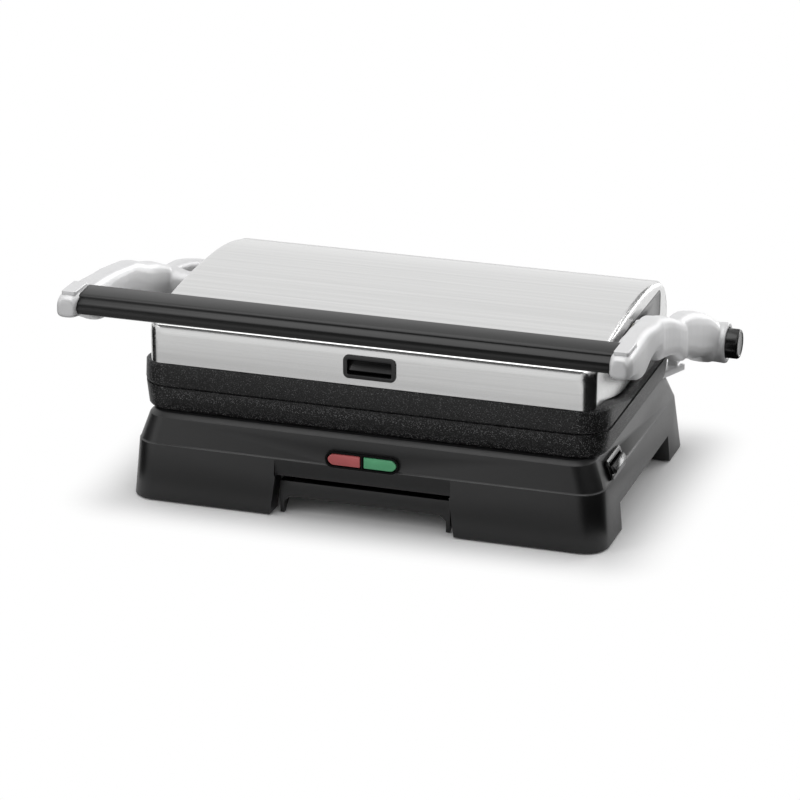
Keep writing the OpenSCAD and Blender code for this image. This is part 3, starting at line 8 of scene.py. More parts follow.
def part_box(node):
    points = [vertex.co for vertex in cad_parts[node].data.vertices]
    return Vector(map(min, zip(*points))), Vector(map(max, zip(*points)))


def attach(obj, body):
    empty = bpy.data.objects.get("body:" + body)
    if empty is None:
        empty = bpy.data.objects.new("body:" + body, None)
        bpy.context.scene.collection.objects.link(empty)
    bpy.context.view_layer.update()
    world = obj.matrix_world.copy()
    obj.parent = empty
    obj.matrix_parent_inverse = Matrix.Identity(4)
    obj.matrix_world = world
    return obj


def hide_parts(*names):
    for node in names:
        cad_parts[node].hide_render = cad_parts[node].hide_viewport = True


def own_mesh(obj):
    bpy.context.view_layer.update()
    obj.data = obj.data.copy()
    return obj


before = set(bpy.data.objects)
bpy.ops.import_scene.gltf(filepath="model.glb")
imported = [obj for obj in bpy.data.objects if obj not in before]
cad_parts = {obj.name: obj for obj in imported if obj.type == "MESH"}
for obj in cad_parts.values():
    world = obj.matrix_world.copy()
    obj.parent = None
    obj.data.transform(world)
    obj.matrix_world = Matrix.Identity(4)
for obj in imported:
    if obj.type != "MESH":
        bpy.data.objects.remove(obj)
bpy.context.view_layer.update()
scene = bpy.context.scene
scene.view_settings.view_transform = "Standard"

# ---------- the stage ----------
# A pale worktop that runs out of sight, a white surround, three large soft lamps and a
# long lens a little to the right of the front and above it, as in the product's picture.
LENS_PX = 3644.57
FRAME_PX = 800
SENSOR_MM = 36
CAM_YAW = 0.316151
CAM_PITCH = 0.359456
CAM_ROLL = 0.001165
CAM_AT = Vector((0.72978, -2.23676, 0.94326))
CLIP_FAR = 20

camera = bpy.data.objects.new("camera", bpy.data.cameras.new("camera"))
scene.collection.objects.link(camera)
camera.data.sensor_width = SENSOR_MM
camera.data.lens = LENS_PX * SENSOR_MM / FRAME_PX
camera.data.clip_end = CLIP_FAR
turn = (Matrix.Rotation(CAM_YAW, 4, "Z") @ Matrix.Rotation(math.pi / 2 - CAM_PITCH, 4, "X")
        @ Matrix.Rotation(CAM_ROLL, 4, "Z"))
camera.matrix_world = Matrix.Translation(CAM_AT) @ turn
scene.camera = camera


def soft_lamp(name, at, look, width, height, power):
    """A lamp of width by height metres at a place, turned to a point, with its power in watts."""
    lamp = bpy.data.lights.new(name, "AREA")
    lamp.shape = "RECTANGLE"
    lamp.size, lamp.size_y = width, height
    lamp.energy = power
    thing = bpy.data.objects.new(name, lamp)
    scene.collection.objects.link(thing)
    thing.location = at
    thing.rotation_euler = (Vector(look) - Vector(at)).to_track_quat("-Z", "Y").to_euler()


soft_lamp("lamp_top", (-0.15, -0.15, 1.5), (0, 0, 0.1), 1.6, 1.2, 10)
soft_lamp("lamp_left", (-1.5, -1.3, 0.9), (0, 0, 0.08), 0.9, 0.9, 6)
soft_lamp("lamp_behind_right", (0.85, 1.5, 0.5), (0.1, 0, 0.06), 1.2, 0.7, 13)


def add_node(tree, kind, operation):
    node = tree.nodes.new(kind)
    node.operation = operation
    return node


def white_to_the_eye(tree):
    """1 for rays that show the surround itself: camera, mirror-like and see-through ones."""
    path = tree.nodes.new("ShaderNodeLightPath")
    first = add_node(tree, "ShaderNodeMath", "MAXIMUM")
    both = add_node(tree, "ShaderNodeMath", "MAXIMUM")
    tree.links.new(path.outputs["Is Camera Ray"], first.inputs[0])
    tree.links.new(path.outputs["Is Glossy Ray"], first.inputs[1])
    tree.links.new(first.outputs[0], both.inputs[0])
    tree.links.new(path.outputs["Is Transmission Ray"], both.inputs[1])
    return both.outputs[0]


SURROUND_FILL = 0.52
world = bpy.data.worlds.new("surround")
scene.world = world
world.use_nodes = True
wt = world.node_tree
wt.nodes.clear()
w_out = wt.nodes.new("ShaderNodeOutputWorld")
w_fill = wt.nodes.new("ShaderNodeBackground")
w_white = wt.nodes.new("ShaderNodeBackground")
w_mix = wt.nodes.new("ShaderNodeMixShader")
w_fill.inputs["Color"].default_value = (1, 1, 1, 1)
w_fill.inputs["Strength"].default_value = SURROUND_FILL
w_white.inputs["Color"].default_value = (1, 1, 1, 1)
w_white.inputs["Strength"].default_value = 1.0
wt.links.new(white_to_the_eye(wt), w_mix.inputs["Fac"])
wt.links.new(w_fill.outputs[0], w_mix.inputs[1])
wt.links.new(w_white.outputs[0], w_mix.inputs[2])
wt.links.new(w_mix.outputs[0], w_out.inputs["Surface"])

# The worktop keeps the shadow close to the base and is plain white beyond it. Its grey
# underlayer is what diffuse light meets, so that undersides stay darker than tops.
FLOOR_HALF = 6.0
BASE_HALF = (0.1685, 0.113)
BASE_MID_Y = 0.0224
SHADOW_FROM, SHADOW_REACH = -0.002, 0.05
BOUNCE, PALE = 0.3, 0.95
floor_mesh = bpy.data.meshes.new("worktop")
floor_mesh.from_pydata([(x * FLOOR_HALF, y * FLOOR_HALF, 0) for x, y in ((-1, -1), (1, -1), (1, 1), (-1, 1))],
                       [], [(0, 1, 2, 3)])
worktop = bpy.data.objects.new("worktop", floor_mesh)
scene.collection.objects.link(worktop)
pale = bpy.data.materials.new("pale_worktop")
pale.use_nodes = True
ft = pale.node_tree
ft.nodes.clear()
f_out = ft.nodes.new("ShaderNodeOutputMaterial")
f_lit = ft.nodes.new("ShaderNodeBsdfDiffuse")
f_glow = ft.nodes.new("ShaderNodeEmission")
f_mix = ft.nodes.new("ShaderNodeMixShader")
f_coord = ft.nodes.new("ShaderNodeTexCoord")
f_shift = add_node(ft, "ShaderNodeVectorMath", "SUBTRACT")
f_fold = add_node(ft, "ShaderNodeVectorMath", "ABSOLUTE")
f_less = add_node(ft, "ShaderNodeVectorMath", "SUBTRACT")
f_past = add_node(ft, "ShaderNodeVectorMath", "MAXIMUM")
f_far = add_node(ft, "ShaderNodeVectorMath", "LENGTH")
f_share = ft.nodes.new("ShaderNodeMapRange")
f_share.interpolation_type = "SMOOTHSTEP"
f_seen = add_node(ft, "ShaderNodeMath", "MULTIPLY")
f_tone = ft.nodes.new("ShaderNodeMapRange")
f_glow.inputs["Color"].default_value = (1, 1, 1, 1)
f_shift.inputs[1].default_value = (0, BASE_MID_Y, 0)
f_less.inputs[1].default_value = (*BASE_HALF, 0)
for node, values in ((f_share, (SHADOW_FROM, SHADOW_REACH, 0.0, 1.0)), (f_tone, (0.0, 1.0, BOUNCE, PALE))):
    for label, value in zip(("From Min", "From Max", "To Min", "To Max"), values):
        node.inputs[label].default_value = value
f_eye = white_to_the_eye(ft)
for start, end in ((f_coord.outputs["Object"], f_shift.inputs[0]), (f_shift.outputs[0], f_fold.inputs[0]),
                   (f_fold.outputs[0], f_less.inputs[0]), (f_less.outputs[0], f_past.inputs[0]),
                   (f_past.outputs[0], f_far.inputs[0]), (f_far.outputs["Value"], f_share.inputs["Value"]),
                   (f_share.outputs["Result"], f_seen.inputs[0]), (f_eye, f_seen.inputs[1]),
                   (f_eye, f_tone.inputs["Value"]), (f_tone.outputs["Result"], f_lit.inputs["Color"]),
                   (f_seen.outputs[0], f_mix.inputs["Fac"]), (f_lit.outputs[0], f_mix.inputs[1]),
                   (f_glow.outputs[0], f_mix.inputs[2]), (f_mix.outputs[0], f_out.inputs["Surface"])):
    ft.links.new(start, end)
floor_mesh.materials.append(pale)


# Cards of black and grey stand round the product as painted reflections. Only mirror-like rays meet them, and they
# paint the dark bands of the picture into the reflections of the corners, the lid's bend and the front. They are set
# for the picture's view.
def card(name, corners, faces, tone):
    """A sheet seen only in reflections, given by its corners and faces, and the grey of the painted reflection from 0
    to 1.
    """
    mesh = bpy.data.meshes.new(name)
    mesh.from_pydata(corners, [], faces)
    thing = bpy.data.objects.new(name, mesh)
    scene.collection.objects.link(thing)
    painted_reflection = bpy.data.materials.new(name + "_felt")
    painted_reflection.use_nodes = True
    painted_reflection_shader = painted_reflection.node_tree.nodes["Principled BSDF"]
    painted_reflection_shader.inputs["Base Color"].default_value = (tone, tone, tone, 1)
    painted_reflection_shader.inputs["Roughness"].default_value = 1.0
    painted_reflection_shader.inputs["Specular IOR Level"].default_value = 0.0
    mesh.materials.append(painted_reflection)
    for kind in ("camera", "diffuse", "transmission", "volume_scatter", "shadow"):
        setattr(thing, "visible_" + kind, False)


CORNER_X, CORNER_Y = 0.165, -0.085
CARD_NEAR, CARD_OUT, CARD_RAISED = 0.03, 0.3, 0.002
BLACK_REFLECTION, DARK_REFLECTION, NIGHT_REFLECTION, GREY_REFLECTION = 0.01, 0.02, 0.015, 0.66


def corner_card(name, side, start_deg, end_deg, top):
    """A sector of painted dark reflection on the worktop round one corner of the product, with a low wall behind."""
    steps = 20
    ring = []
    for k in range(steps + 1):
        a = math.radians(start_deg + (end_deg - start_deg) * k / steps)
        for reach, z in ((CARD_NEAR, CARD_RAISED), (CARD_OUT, CARD_RAISED), (CARD_OUT, top)):
            ring.append((side * CORNER_X + reach * math.sin(a), CORNER_Y - reach * math.cos(a), z))
    card(name, ring, [(3 * k + j, 3 * k + j + 1, 3 * k + j + 4, 3 * k + j + 3)
                      for k in range(steps) for j in (0, 1)], BLACK_REFLECTION)


corner_card("card_right_corner", 1, 4, 148, 0.2)
corner_card("card_left_corner", -1, -56, -112, 0.14)
# Flat sheets of painted reflection: grey on the worktop in front, near black over the front, under the right barrel and
# behind on the right
for name, corners, tone in (
        ("card_in_front", ((-0.62, -0.375, 0.001), (0.4, -0.375, 0.001),
                           (0.4, -0.11, 0.001), (-0.62, -0.11, 0.001)), GREY_REFLECTION),
        ("card_over_front", ((-1.1, -0.8, 0.36), (0.5, -0.8, 0.36), (0.5, -0.6, 0.85), (-1.1, -0.6, 0.85)), NIGHT_REFLECTION),
        ("card_under_barrel", ((0.18, 0.09, 0.056), (0.23, 0.09, 0.056),
                               (0.23, 0.17, 0.056), (0.18, 0.17, 0.056)), DARK_REFLECTION),
        ("card_behind_right", ((0.17, 0.42, 0.18), (0.52, 0.42, 0.18),
                               (0.52, 0.42, 0.32), (0.17, 0.42, 0.32)), DARK_REFLECTION)):
    card(name, corners, [(0, 1, 2, 3)], tone)

# ---------- base mouldings ----------
# Skirt and deck of the base, moulded in black glass-filled plastic with a fine matt grain.
# They meet at the step line. Edges are rounded, and their corners are painted paler, partly as polish and partly as
# painted highlight.
MM = 0.001


def new_group(name, inputs, outputs):
    tree = bpy.data.node_groups.new(name, "ShaderNodeTree")
    for label, kind, value in inputs:
        tree.interface.new_socket(label, in_out="INPUT", socket_type=kind).default_value = value
    for label, kind in outputs:
        tree.interface.new_socket(label, in_out="OUTPUT", socket_type=kind)
    return tree, tree.nodes.new("NodeGroupInput"), tree.nodes.new("NodeGroupOutput")


def math_node(tree, operation, a, b=None, clamp=False):
    node = tree.nodes.new("ShaderNodeMath")
    node.operation = operation
    node.use_clamp = clamp
    for k, value in enumerate((a, b)):
        if value is None:
            continue
        if isinstance(value, (int, float)):
            node.inputs[k].default_value = value
        else:
            tree.links.new(value, node.inputs[k])
    return node.outputs[0]


def noise_node(tree, vector, scale, detail, rough):
    node = tree.nodes.new("ShaderNodeTexNoise")
    node.inputs["Detail"].default_value = detail
    node.inputs["Roughness"].default_value = rough
    tree.links.new(vector, node.inputs["Vector"])
    if isinstance(scale, (int, float)):
        node.inputs["Scale"].default_value = scale
    else:
        tree.links.new(scale, node.inputs["Scale"])
    return node.outputs["Fac"]


# Moulded grain: fine pebbles and slow mottling, from the piece's own coordinates
grain_group, g_in, g_out = new_group(
    "moulded_grain",
    [("Scale", "NodeSocketFloat", 1400.0)],
    [("Height", "NodeSocketFloat"), ("Mottle", "NodeSocketFloat"), ("Scuff", "NodeSocketFloat")])
g_coord = grain_group.nodes.new("ShaderNodeTexCoord").outputs["Object"]
g_fine = noise_node(grain_group, g_coord, g_in.outputs["Scale"], 2.0, 0.6)
g_slow = noise_node(grain_group, g_coord, 22.0, 3.0, 0.55)
g_scuff = noise_node(grain_group, g_coord, 160.0, 6.0, 0.7)
grain_group.links.new(g_fine, g_out.inputs["Height"])
grain_group.links.new(g_slow, g_out.inputs["Mottle"])
grain_group.links.new(math_node(grain_group, "POWER", g_scuff, 3.0, True), g_out.inputs["Scuff"])

# Edge wear and painted highlight: where the rounded normal leaves the true one, the edge is painted paler, partly as
# rubbed and partly as light catching it
wear_and_highlight_group, e_in, e_out = new_group(
    "edge_wear_and_highlight",
    [("Gain", "NodeSocketFloat", 2.5)],
    [("Mask", "NodeSocketFloat")])
e_bevel = wear_and_highlight_group.nodes.new("ShaderNodeBevel")
e_bevel.samples = 4
e_bevel.inputs["Radius"].default_value = 0.8 * MM
e_true = wear_and_highlight_group.nodes.new("ShaderNodeNewGeometry")
e_dot = wear_and_highlight_group.nodes.new("ShaderNodeVectorMath")
e_dot.operation = "DOT_PRODUCT"
wear_and_highlight_group.links.new(e_bevel.outputs["Normal"], e_dot.inputs[0])
wear_and_highlight_group.links.new(e_true.outputs["Normal"], e_dot.inputs[1])
e_gap = math_node(wear_and_highlight_group, "SUBTRACT", 1.0, e_dot.outputs["Value"], True)
e_mask = math_node(wear_and_highlight_group, "MULTIPLY", e_gap, e_in.outputs["Gain"], True)
wear_and_highlight_group.links.new(e_mask, e_out.inputs["Mask"])


def use_group(tree, group, **values):
    node = tree.nodes.new("ShaderNodeGroup")
    node.node_tree = group
    for label, value in values.items():
        node.inputs[label].default_value = value
    return node


def mix_colour(tree, share, a, b):
    node = tree.nodes.new("ShaderNodeMix")
    node.data_type = "RGBA"
    # the colour sockets of a Mix node are its seventh and eighth
    for socket, value in ((node.inputs[6], a), (node.inputs[7], b)):
        if isinstance(value, tuple):
            socket.default_value = (*value, 1)
        else:
            tree.links.new(value, socket)
    tree.links.new(share, node.inputs[0])
    return node.outputs[2]


def new_material(name, metallic, roughness, coat=0.0, shine=0.5):
    made = bpy.data.materials.new(name)
    made.use_nodes = True
    tree = made.node_tree
    shader = tree.nodes["Principled BSDF"]
    shader.inputs["Metallic"].default_value = metallic
    shader.inputs["Roughness"].default_value = roughness
    shader.inputs["Coat Weight"].default_value = coat
    shader.inputs["Specular IOR Level"].default_value = shine
    return made, tree, shader


def add_bump(tree, shader, height, depth):
    bump = tree.nodes.new("ShaderNodeBump")
    bump.inputs["Strength"].default_value = 1.0
    bump.inputs["Distance"].default_value = depth
    tree.links.new(height, bump.inputs["Height"])
    tree.links.new(bump.outputs["Normal"], shader.inputs["Normal"])


def moulded(name, dark, light, roughness, grain, depth, worn_and_lit_edge, coat=0.0, shine=0.5):
    """A moulded plastic or glaze: mottled from dark to light, with edges painted paler as wear and painted highlight.
    """
    made, tree, shader = new_material(name, 0.0, roughness, coat, shine)
    grain_node = use_group(tree, grain_group, Scale=grain)
    wear_and_highlight_node = use_group(tree, wear_and_highlight_group, Gain=3.0)
    base = mix_colour(tree, grain_node.outputs["Mottle"], dark, light)
    # the edges are painted paler: partly wear, partly painted highlight
    shade = mix_colour(tree, wear_and_highlight_node.outputs["Mask"], base, worn_and_lit_edge)
    tree.links.new(shade, shader.inputs["Base Color"])
    rough = math_node(tree, "MULTIPLY_ADD", grain_node.outputs["Scuff"], 0.12)
    rough.node.inputs[2].default_value = roughness
    tree.links.new(rough, shader.inputs["Roughness"])
    add_bump(tree, shader, grain_node.outputs["Height"], depth)
    return made


# the last colour of each finish is its paler edge: wear and painted highlight
housing_black = moulded("housing_black", (0.0045, 0.0045, 0.0048), (0.007, 0.007, 0.0074), 0.36,
                        1500.0, 0.025 * MM, (0.06, 0.06, 0.061))
trim_black = moulded("trim_black", (0.004, 0.004, 0.004), (0.006, 0.006, 0.0062), 0.22, 900.0, 0.01 * MM,
                     (0.02, 0.02, 0.02))


FLAT_DEG = 0.6
MERGE_DIST, SLIVER_DIST = 0.004 * MM, 0.002 * MM


def clean_mesh(node):
    """The node's faces merged: coplanar triangles become one face, so that only real edges stay."""
    bm = bmesh.new()
    bm.from_mesh(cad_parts[node].data)
    bmesh.ops.remove_doubles(bm, verts=bm.verts, dist=MERGE_DIST)
    bmesh.ops.dissolve_degenerate(bm, edges=bm.edges, dist=SLIVER_DIST)
    bmesh.ops.dissolve_limit(bm, angle_limit=math.radians(FLAT_DEG), use_dissolve_boundaries=False,
                             verts=bm.verts, edges=bm.edges)
    bm.verts.index_update()
    mesh = bpy.data.meshes.new(node + "_dressed")
    mesh.from_pydata([v.co[:] for v in bm.verts], [], [[v.index for v in f.verts] for f in bm.faces])
    bm.free()
    return mesh


def settle(thing, name, body, material, sharp_deg=40.0):
    """Turns the piece with its modifiers into a plain mesh, shades it and hangs it on its body."""
    bpy.context.view_layer.update()
    graph = bpy.context.evaluated_depsgraph_get()
    mesh = bpy.data.meshes.new_from_object(thing.evaluated_get(graph))
    mesh.name = name
    bpy.data.objects.remove(thing)
    mesh.materials.clear()
    mesh.materials.append(material)
    mesh.polygons.foreach_set("use_smooth", [True] * len(mesh.polygons))
    mesh.set_sharp_from_angle(angle=math.radians(sharp_deg))
    piece = bpy.data.objects.new(name, mesh)
    scene.collection.objects.link(piece)
    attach(piece, body)
    return piece


def rounded_copy(node, name, body, material, radius_mm, segments=2, from_deg=28.0, reshape=None):
    """Stands for a CAD node: the same solid with its edges rounded, and fine forms from reshape."""
    mesh = clean_mesh(node)
    if reshape:
        reshape(mesh)
    thing = bpy.data.objects.new(name + "_work", mesh)
    scene.collection.objects.link(thing)
    bevel = thing.modifiers.new("edges", "BEVEL")
    bevel.width = radius_mm * MM
    bevel.segments = segments
    bevel.limit_method = "ANGLE"
    bevel.angle_limit = math.radians(from_deg)
    bevel.use_clamp_overlap = True
    piece = settle(thing, name, body, material)
    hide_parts(node)


rounded_copy("lower_housing", "base_skirt", "base", housing_black, 0.5)
rounded_copy("deck_housing", "base_deck", "base", housing_black, 0.35)


def paint(node, material):
    """Gives a carried-over CAD node its finish."""
    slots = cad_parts[node].material_slots
    if not slots:
        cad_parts[node].data.materials.append(material)
    for s in slots:
        s.material = material


# ---------- bottom cover, feet and drip tray ----------
# The bottom is a black pan with rails for the shallow tray. Soft rubber discs sit in its
# feet. The tray slides out to the front and stands on two legs there.
rubber = moulded("rubber", (0.012, 0.012, 0.012), (0.02, 0.02, 0.02), 0.75, 700.0, 0.06 * MM, (0.03, 0.03, 0.03))
paint("bottom_cover", trim_black)
foot_low, foot_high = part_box("rubber_feet")
FOOT_R = 5.95 * MM
FOOT_H = foot_high.z - foot_low.z
RIB_PITCH, RIB_DEPTH = 1.6 * MM, 0.5 * MM
RIBBED_SHARE = 0.95


def new_shape_tree(name, inputs):
    """A Geometry Nodes tree with a mesh input, the named inputs and one geometry output."""
    tree = bpy.data.node_groups.new(name, "GeometryNodeTree")
    tree.interface.new_socket("Places", in_out="INPUT", socket_type="NodeSocketGeometry")
    for label, kind in inputs:
        tree.interface.new_socket(label, in_out="INPUT", socket_type=kind)
    tree.interface.new_socket("Geometry", in_out="OUTPUT", socket_type="NodeSocketGeometry")
    return tree, tree.nodes.new("NodeGroupInput"), tree.nodes.new("NodeGroupOutput")


def shape_node(tree, kind, links=None, **settings):
    """A node with its settings, and with links from sockets or plain values into its inputs."""
    node = tree.nodes.new(kind)
    for label, value in settings.items():
        setattr(node, label, value)
    for label, value in (links or {}).items():
        socket = node.inputs[label]
        if isinstance(value, bpy.types.NodeSocket):
            tree.links.new(value, socket)
        else:
            socket.default_value = value
    return node


def finish_shape_tree(tree, shape, places, turn, group_in, group_out):
    """Sets the shape on every place, turned about its own axis, as real mesh with its material."""
    spread = shape_node(tree, "GeometryNodeInstanceOnPoints", {"Points": places, "Instance": shape})
    if turn is not None:
        tree.links.new(turn, spread.inputs["Rotation"])
    real = shape_node(tree, "GeometryNodeRealizeInstances", {"Geometry": spread.outputs[0]})
    dressed = shape_node(tree, "GeometryNodeSetMaterial",
                         {"Geometry": real.outputs[0], "Material": group_in.outputs["Material"]})
    tree.links.new(dressed.outputs[0], group_out.inputs[0])


def repeated(tree, name, body, places, values, stands_for, sharp_deg=40.0):
    """Runs a shape tree over the places and hangs the plain mesh that comes out on its body."""
    mesh = bpy.data.meshes.new(name + "_places")
    mesh.from_pydata(places, [], [])
    thing = bpy.data.objects.new(name + "_work", mesh)
    scene.collection.objects.link(thing)
    made = thing.modifiers.new("shape", "NODES")
    made.node_group = tree
    sockets = {item.name: item.identifier for item in tree.interface.items_tree if item.in_out == "INPUT"}
    for label, value in values.items():
        made[sockets[label]] = value
    piece = settle(thing, name, body, values["Material"], sharp_deg)
    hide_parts(stands_for)
    return piece


# A foot disc: a short cylinder with ring ribs on the face that stands on the worktop
foot_tree, r_in, r_out = new_shape_tree("ribbed_foot", [
    ("Radius", "NodeSocketFloat"), ("Height", "NodeSocketFloat"), ("Rib Pitch", "NodeSocketFloat"),
    ("Rib Depth", "NodeSocketFloat"), ("Material", "NodeSocketMaterial")])
r_disc = shape_node(foot_tree, "GeometryNodeMeshCylinder",
                    {"Vertices": 48, "Side Segments": 2, "Fill Segments": 14,
                     "Radius": r_in.outputs["Radius"], "Depth": r_in.outputs["Height"]})
r_place = shape_node(foot_tree, "GeometryNodeInputPosition")
r_split = shape_node(foot_tree, "ShaderNodeSeparateXYZ", {"Vector": r_place.outputs[0]})
r_flat = shape_node(foot_tree, "ShaderNodeCombineXYZ", {"X": r_split.outputs["X"], "Y": r_split.outputs["Y"]})
r_reach = shape_node(foot_tree, "ShaderNodeVectorMath", {0: r_flat.outputs[0]}, operation="LENGTH")
r_ribs = math_node(foot_tree, "DIVIDE", r_reach.outputs["Value"], r_in.outputs["Rib Pitch"])
r_wave = math_node(foot_tree, "MULTIPLY", r_ribs, 2 * math.pi)
r_rise = math_node(foot_tree, "MULTIPLY_ADD", math_node(foot_tree, "COSINE", r_wave), 0.5)
r_rise.node.inputs[2].default_value = 0.5
r_depth = math_node(foot_tree, "MULTIPLY", r_rise, r_in.outputs["Rib Depth"])
r_under = math_node(foot_tree, "LESS_THAN", r_split.outputs["Z"], 0.0)
r_inside = math_node(foot_tree, "LESS_THAN", r_reach.outputs["Value"],
                     math_node(foot_tree, "MULTIPLY", r_in.outputs["Radius"], RIBBED_SHARE))
r_lift = math_node(foot_tree, "MULTIPLY", r_depth, math_node(foot_tree, "MULTIPLY", r_under, r_inside))
r_shift = shape_node(foot_tree, "ShaderNodeCombineXYZ", {"Z": r_lift})
r_moved = shape_node(foot_tree, "GeometryNodeSetPosition",
                     {"Geometry": r_disc.outputs["Mesh"], "Offset": r_shift.outputs[0]})
finish_shape_tree(foot_tree, r_moved.outputs[0], r_in.outputs["Places"], None, r_in, r_out)
repeated(foot_tree, "foot_discs", "base",
         [(x, y, (foot_low.z + foot_high.z) / 2) for x in (foot_low.x + FOOT_R, foot_high.x - FOOT_R)
          for y in (foot_low.y + FOOT_R, foot_high.y - FOOT_R)],
         {"Radius": FOOT_R, "Height": FOOT_H, "Rib Pitch": RIB_PITCH, "Rib Depth": RIB_DEPTH, "Material": rubber},
         "rubber_feet")
rounded_copy("drip_tray", "tray_shell", "tray", housing_black, 0.5)

# ---------- indicator window ----------
# Two clear lenses in one black surround: red for power on the left, green for ready on the
# right. Their backs are frosted, so the unlit colours look milky.


def lens(name, deep, milky):
    made, tree, shader = new_material(name, 0.0, 0.12, 0.0)
    grain_node = use_group(tree, grain_group, Scale=260.0)
    share = math_node(tree, "MULTIPLY", grain_node.outputs["Mottle"], 1.1, True)
    tree.links.new(mix_colour(tree, share, deep, milky), shader.inputs["Base Color"])
    add_bump(tree, shader, grain_node.outputs["Height"], 0.05 * MM)
    return made


window_black = moulded("window_frame_black", (0.002, 0.002, 0.002), (0.003, 0.003, 0.003), 0.55, 900.0, 0.01 * MM,
                       (0.004, 0.004, 0.004), shine=0.12)
paint("indicator_bezel", window_black)
LENS_GAP, LENS_EASE = 0.7 * MM, 3 * MM


def set_in(node):
    """Draws a lens in from its surround on all sides, so that a dark line runs round it."""
    low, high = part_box(node)
    mid = (low + high) / 2

    def shrink(mesh):
        for v in mesh.vertices:
            v.co.x -= math.copysign(LENS_GAP, v.co.x - mid.x) * min(abs(v.co.x - mid.x) / LENS_EASE, 1.0)
            v.co.z -= math.copysign(LENS_GAP, v.co.z - mid.z) * min(abs(v.co.z - mid.z) / LENS_EASE, 1.0)
    return shrink


red_clear = lens("red_lens_plastic", (0.3, 0.04, 0.045), (1.0, 0.24, 0.24))
green_clear = lens("green_lens_plastic", (0.015, 0.22, 0.09), (0.22, 0.76, 0.38))
rounded_copy("red_lens", "red_window", "base", red_clear, 0.5, 3, reshape=set_in("red_lens"))
rounded_copy("green_lens", "green_window", "base", green_clear, 0.5, 3, reshape=set_in("green_lens"))

# ---------- metal inside: heaters, reflectors, clips, screws ----------
# Bent tube elements, darkened where they get hot, held by plated clips over bright
# reflectors. Screws and pins are zinc plated.

# Drawn lines: noise pulled out along one axis, as on brushed or rolled sheet
lines_group, l_in, l_out = new_group(
    "drawn_lines",
    [("Stretch", "NodeSocketVector", (6.0, 1500.0, 1500.0))],
    [("Height", "NodeSocketFloat"), ("Streak", "NodeSocketFloat")])
l_coord = lines_group.nodes.new("ShaderNodeTexCoord").outputs["Object"]
l_scale = lines_group.nodes.new("ShaderNodeVectorMath")
l_scale.operation = "MULTIPLY"
lines_group.links.new(l_coord, l_scale.inputs[0])
lines_group.links.new(l_in.outputs["Stretch"], l_scale.inputs[1])
l_fine = noise_node(lines_group, l_scale.outputs["Vector"], 1.0, 3.0, 0.6)
l_broad = noise_node(lines_group, l_scale.outputs["Vector"], 0.12, 2.0, 0.5)
lines_group.links.new(l_fine, l_out.inputs["Height"])
l_both = math_node(lines_group, "ADD", l_fine, l_broad)
lines_group.links.new(math_node(lines_group, "MULTIPLY", l_both, 0.5), l_out.inputs["Streak"])


def metal(name, dark, light, roughness, stretch, depth):
    """A bare metal whose lines run where stretch is small, streaked from dark to light."""
    made, tree, shader = new_material(name, 1.0, roughness)
    lines_node = use_group(tree, lines_group, Stretch=stretch)
    base = mix_colour(tree, lines_node.outputs["Streak"], dark, light)
    tree.links.new(base, shader.inputs["Base Color"])
    rough = math_node(tree, "MULTIPLY_ADD", lines_node.outputs["Streak"], 0.14)
    rough.node.inputs[2].default_value = roughness - 0.07
    tree.links.new(rough, shader.inputs["Roughness"])
    add_bump(tree, shader, lines_node.outputs["Height"], depth)
    return made


zinc = metal("zinc_plate", (0.42, 0.42, 0.41), (0.58, 0.57, 0.55), 0.34, (500.0, 500.0, 500.0), 0.01 * MM)
rolled = metal("rolled_sheet", (0.5, 0.5, 0.5), (0.66, 0.66, 0.65), 0.25, (6.0, 700.0, 700.0), 0.01 * MM)
hot_tube = metal("hot_tube", (0.10, 0.085, 0.075), (0.22, 0.20, 0.19), 0.5, (60.0, 60.0, 60.0), 0.02 * MM)
wire = metal("spring_wire", (0.3, 0.3, 0.31), (0.46, 0.46, 0.47), 0.28, (900.0, 900.0, 900.0), 0.005 * MM)
for node in ("lower_reflector", "upper_reflector"):
    paint(node, rolled)
for node in ("lower_heater", "upper_heater"):
    paint(node, hot_tube)
for node in ("lower_heater_clips", "upper_heater_clips", "hinge_pins", "lid_pivot_pins", "grip_rod"):
    paint(node, zinc)

# A screw, head down: domed head with a cross recess, and a shank with a rolled thread
screw_tree, v_in, v_out = new_shape_tree("thread_forming_screw", [
    ("Head Radius", "NodeSocketFloat"), ("Head Height", "NodeSocketFloat"), ("Shank Radius", "NodeSocketFloat"),
    ("Length", "NodeSocketFloat"), ("Thread Pitch", "NodeSocketFloat"), ("Seed", "NodeSocketInt"),
    ("Material", "NodeSocketMaterial")])
DOME_SHARE = 0.45
CROSS_LONG, CROSS_WIDE, CROSS_DOWN = 1.1, 0.24, -0.55
CORE_SHARE, THREAD_AT, THREAD_RISE, THREAD_THICK = 0.8, 0.82, 0.94, 0.17
v_head = shape_node(screw_tree, "GeometryNodeMeshCylinder",
                    {"Vertices": 32, "Side Segments": 1, "Fill Segments": 5,
                     "Radius": v_in.outputs["Head Radius"], "Depth": v_in.outputs["Head Height"]})
v_place = shape_node(screw_tree, "GeometryNodeInputPosition")
v_split = shape_node(screw_tree, "ShaderNodeSeparateXYZ", {"Vector": v_place.outputs[0]})
v_flat = shape_node(screw_tree, "ShaderNodeCombineXYZ", {"X": v_split.outputs["X"], "Y": v_split.outputs["Y"]})
v_reach = shape_node(screw_tree, "ShaderNodeVectorMath", {0: v_flat.outputs[0]}, operation="LENGTH")
v_ratio = math_node(screw_tree, "POWER",
                    math_node(screw_tree, "DIVIDE", v_reach.outputs["Value"], v_in.outputs["Head Radius"]), 3.0)
v_full = math_node(screw_tree, "MULTIPLY", v_ratio, v_in.outputs["Head Height"])
v_dome = math_node(screw_tree, "MULTIPLY", v_full, DOME_SHARE)
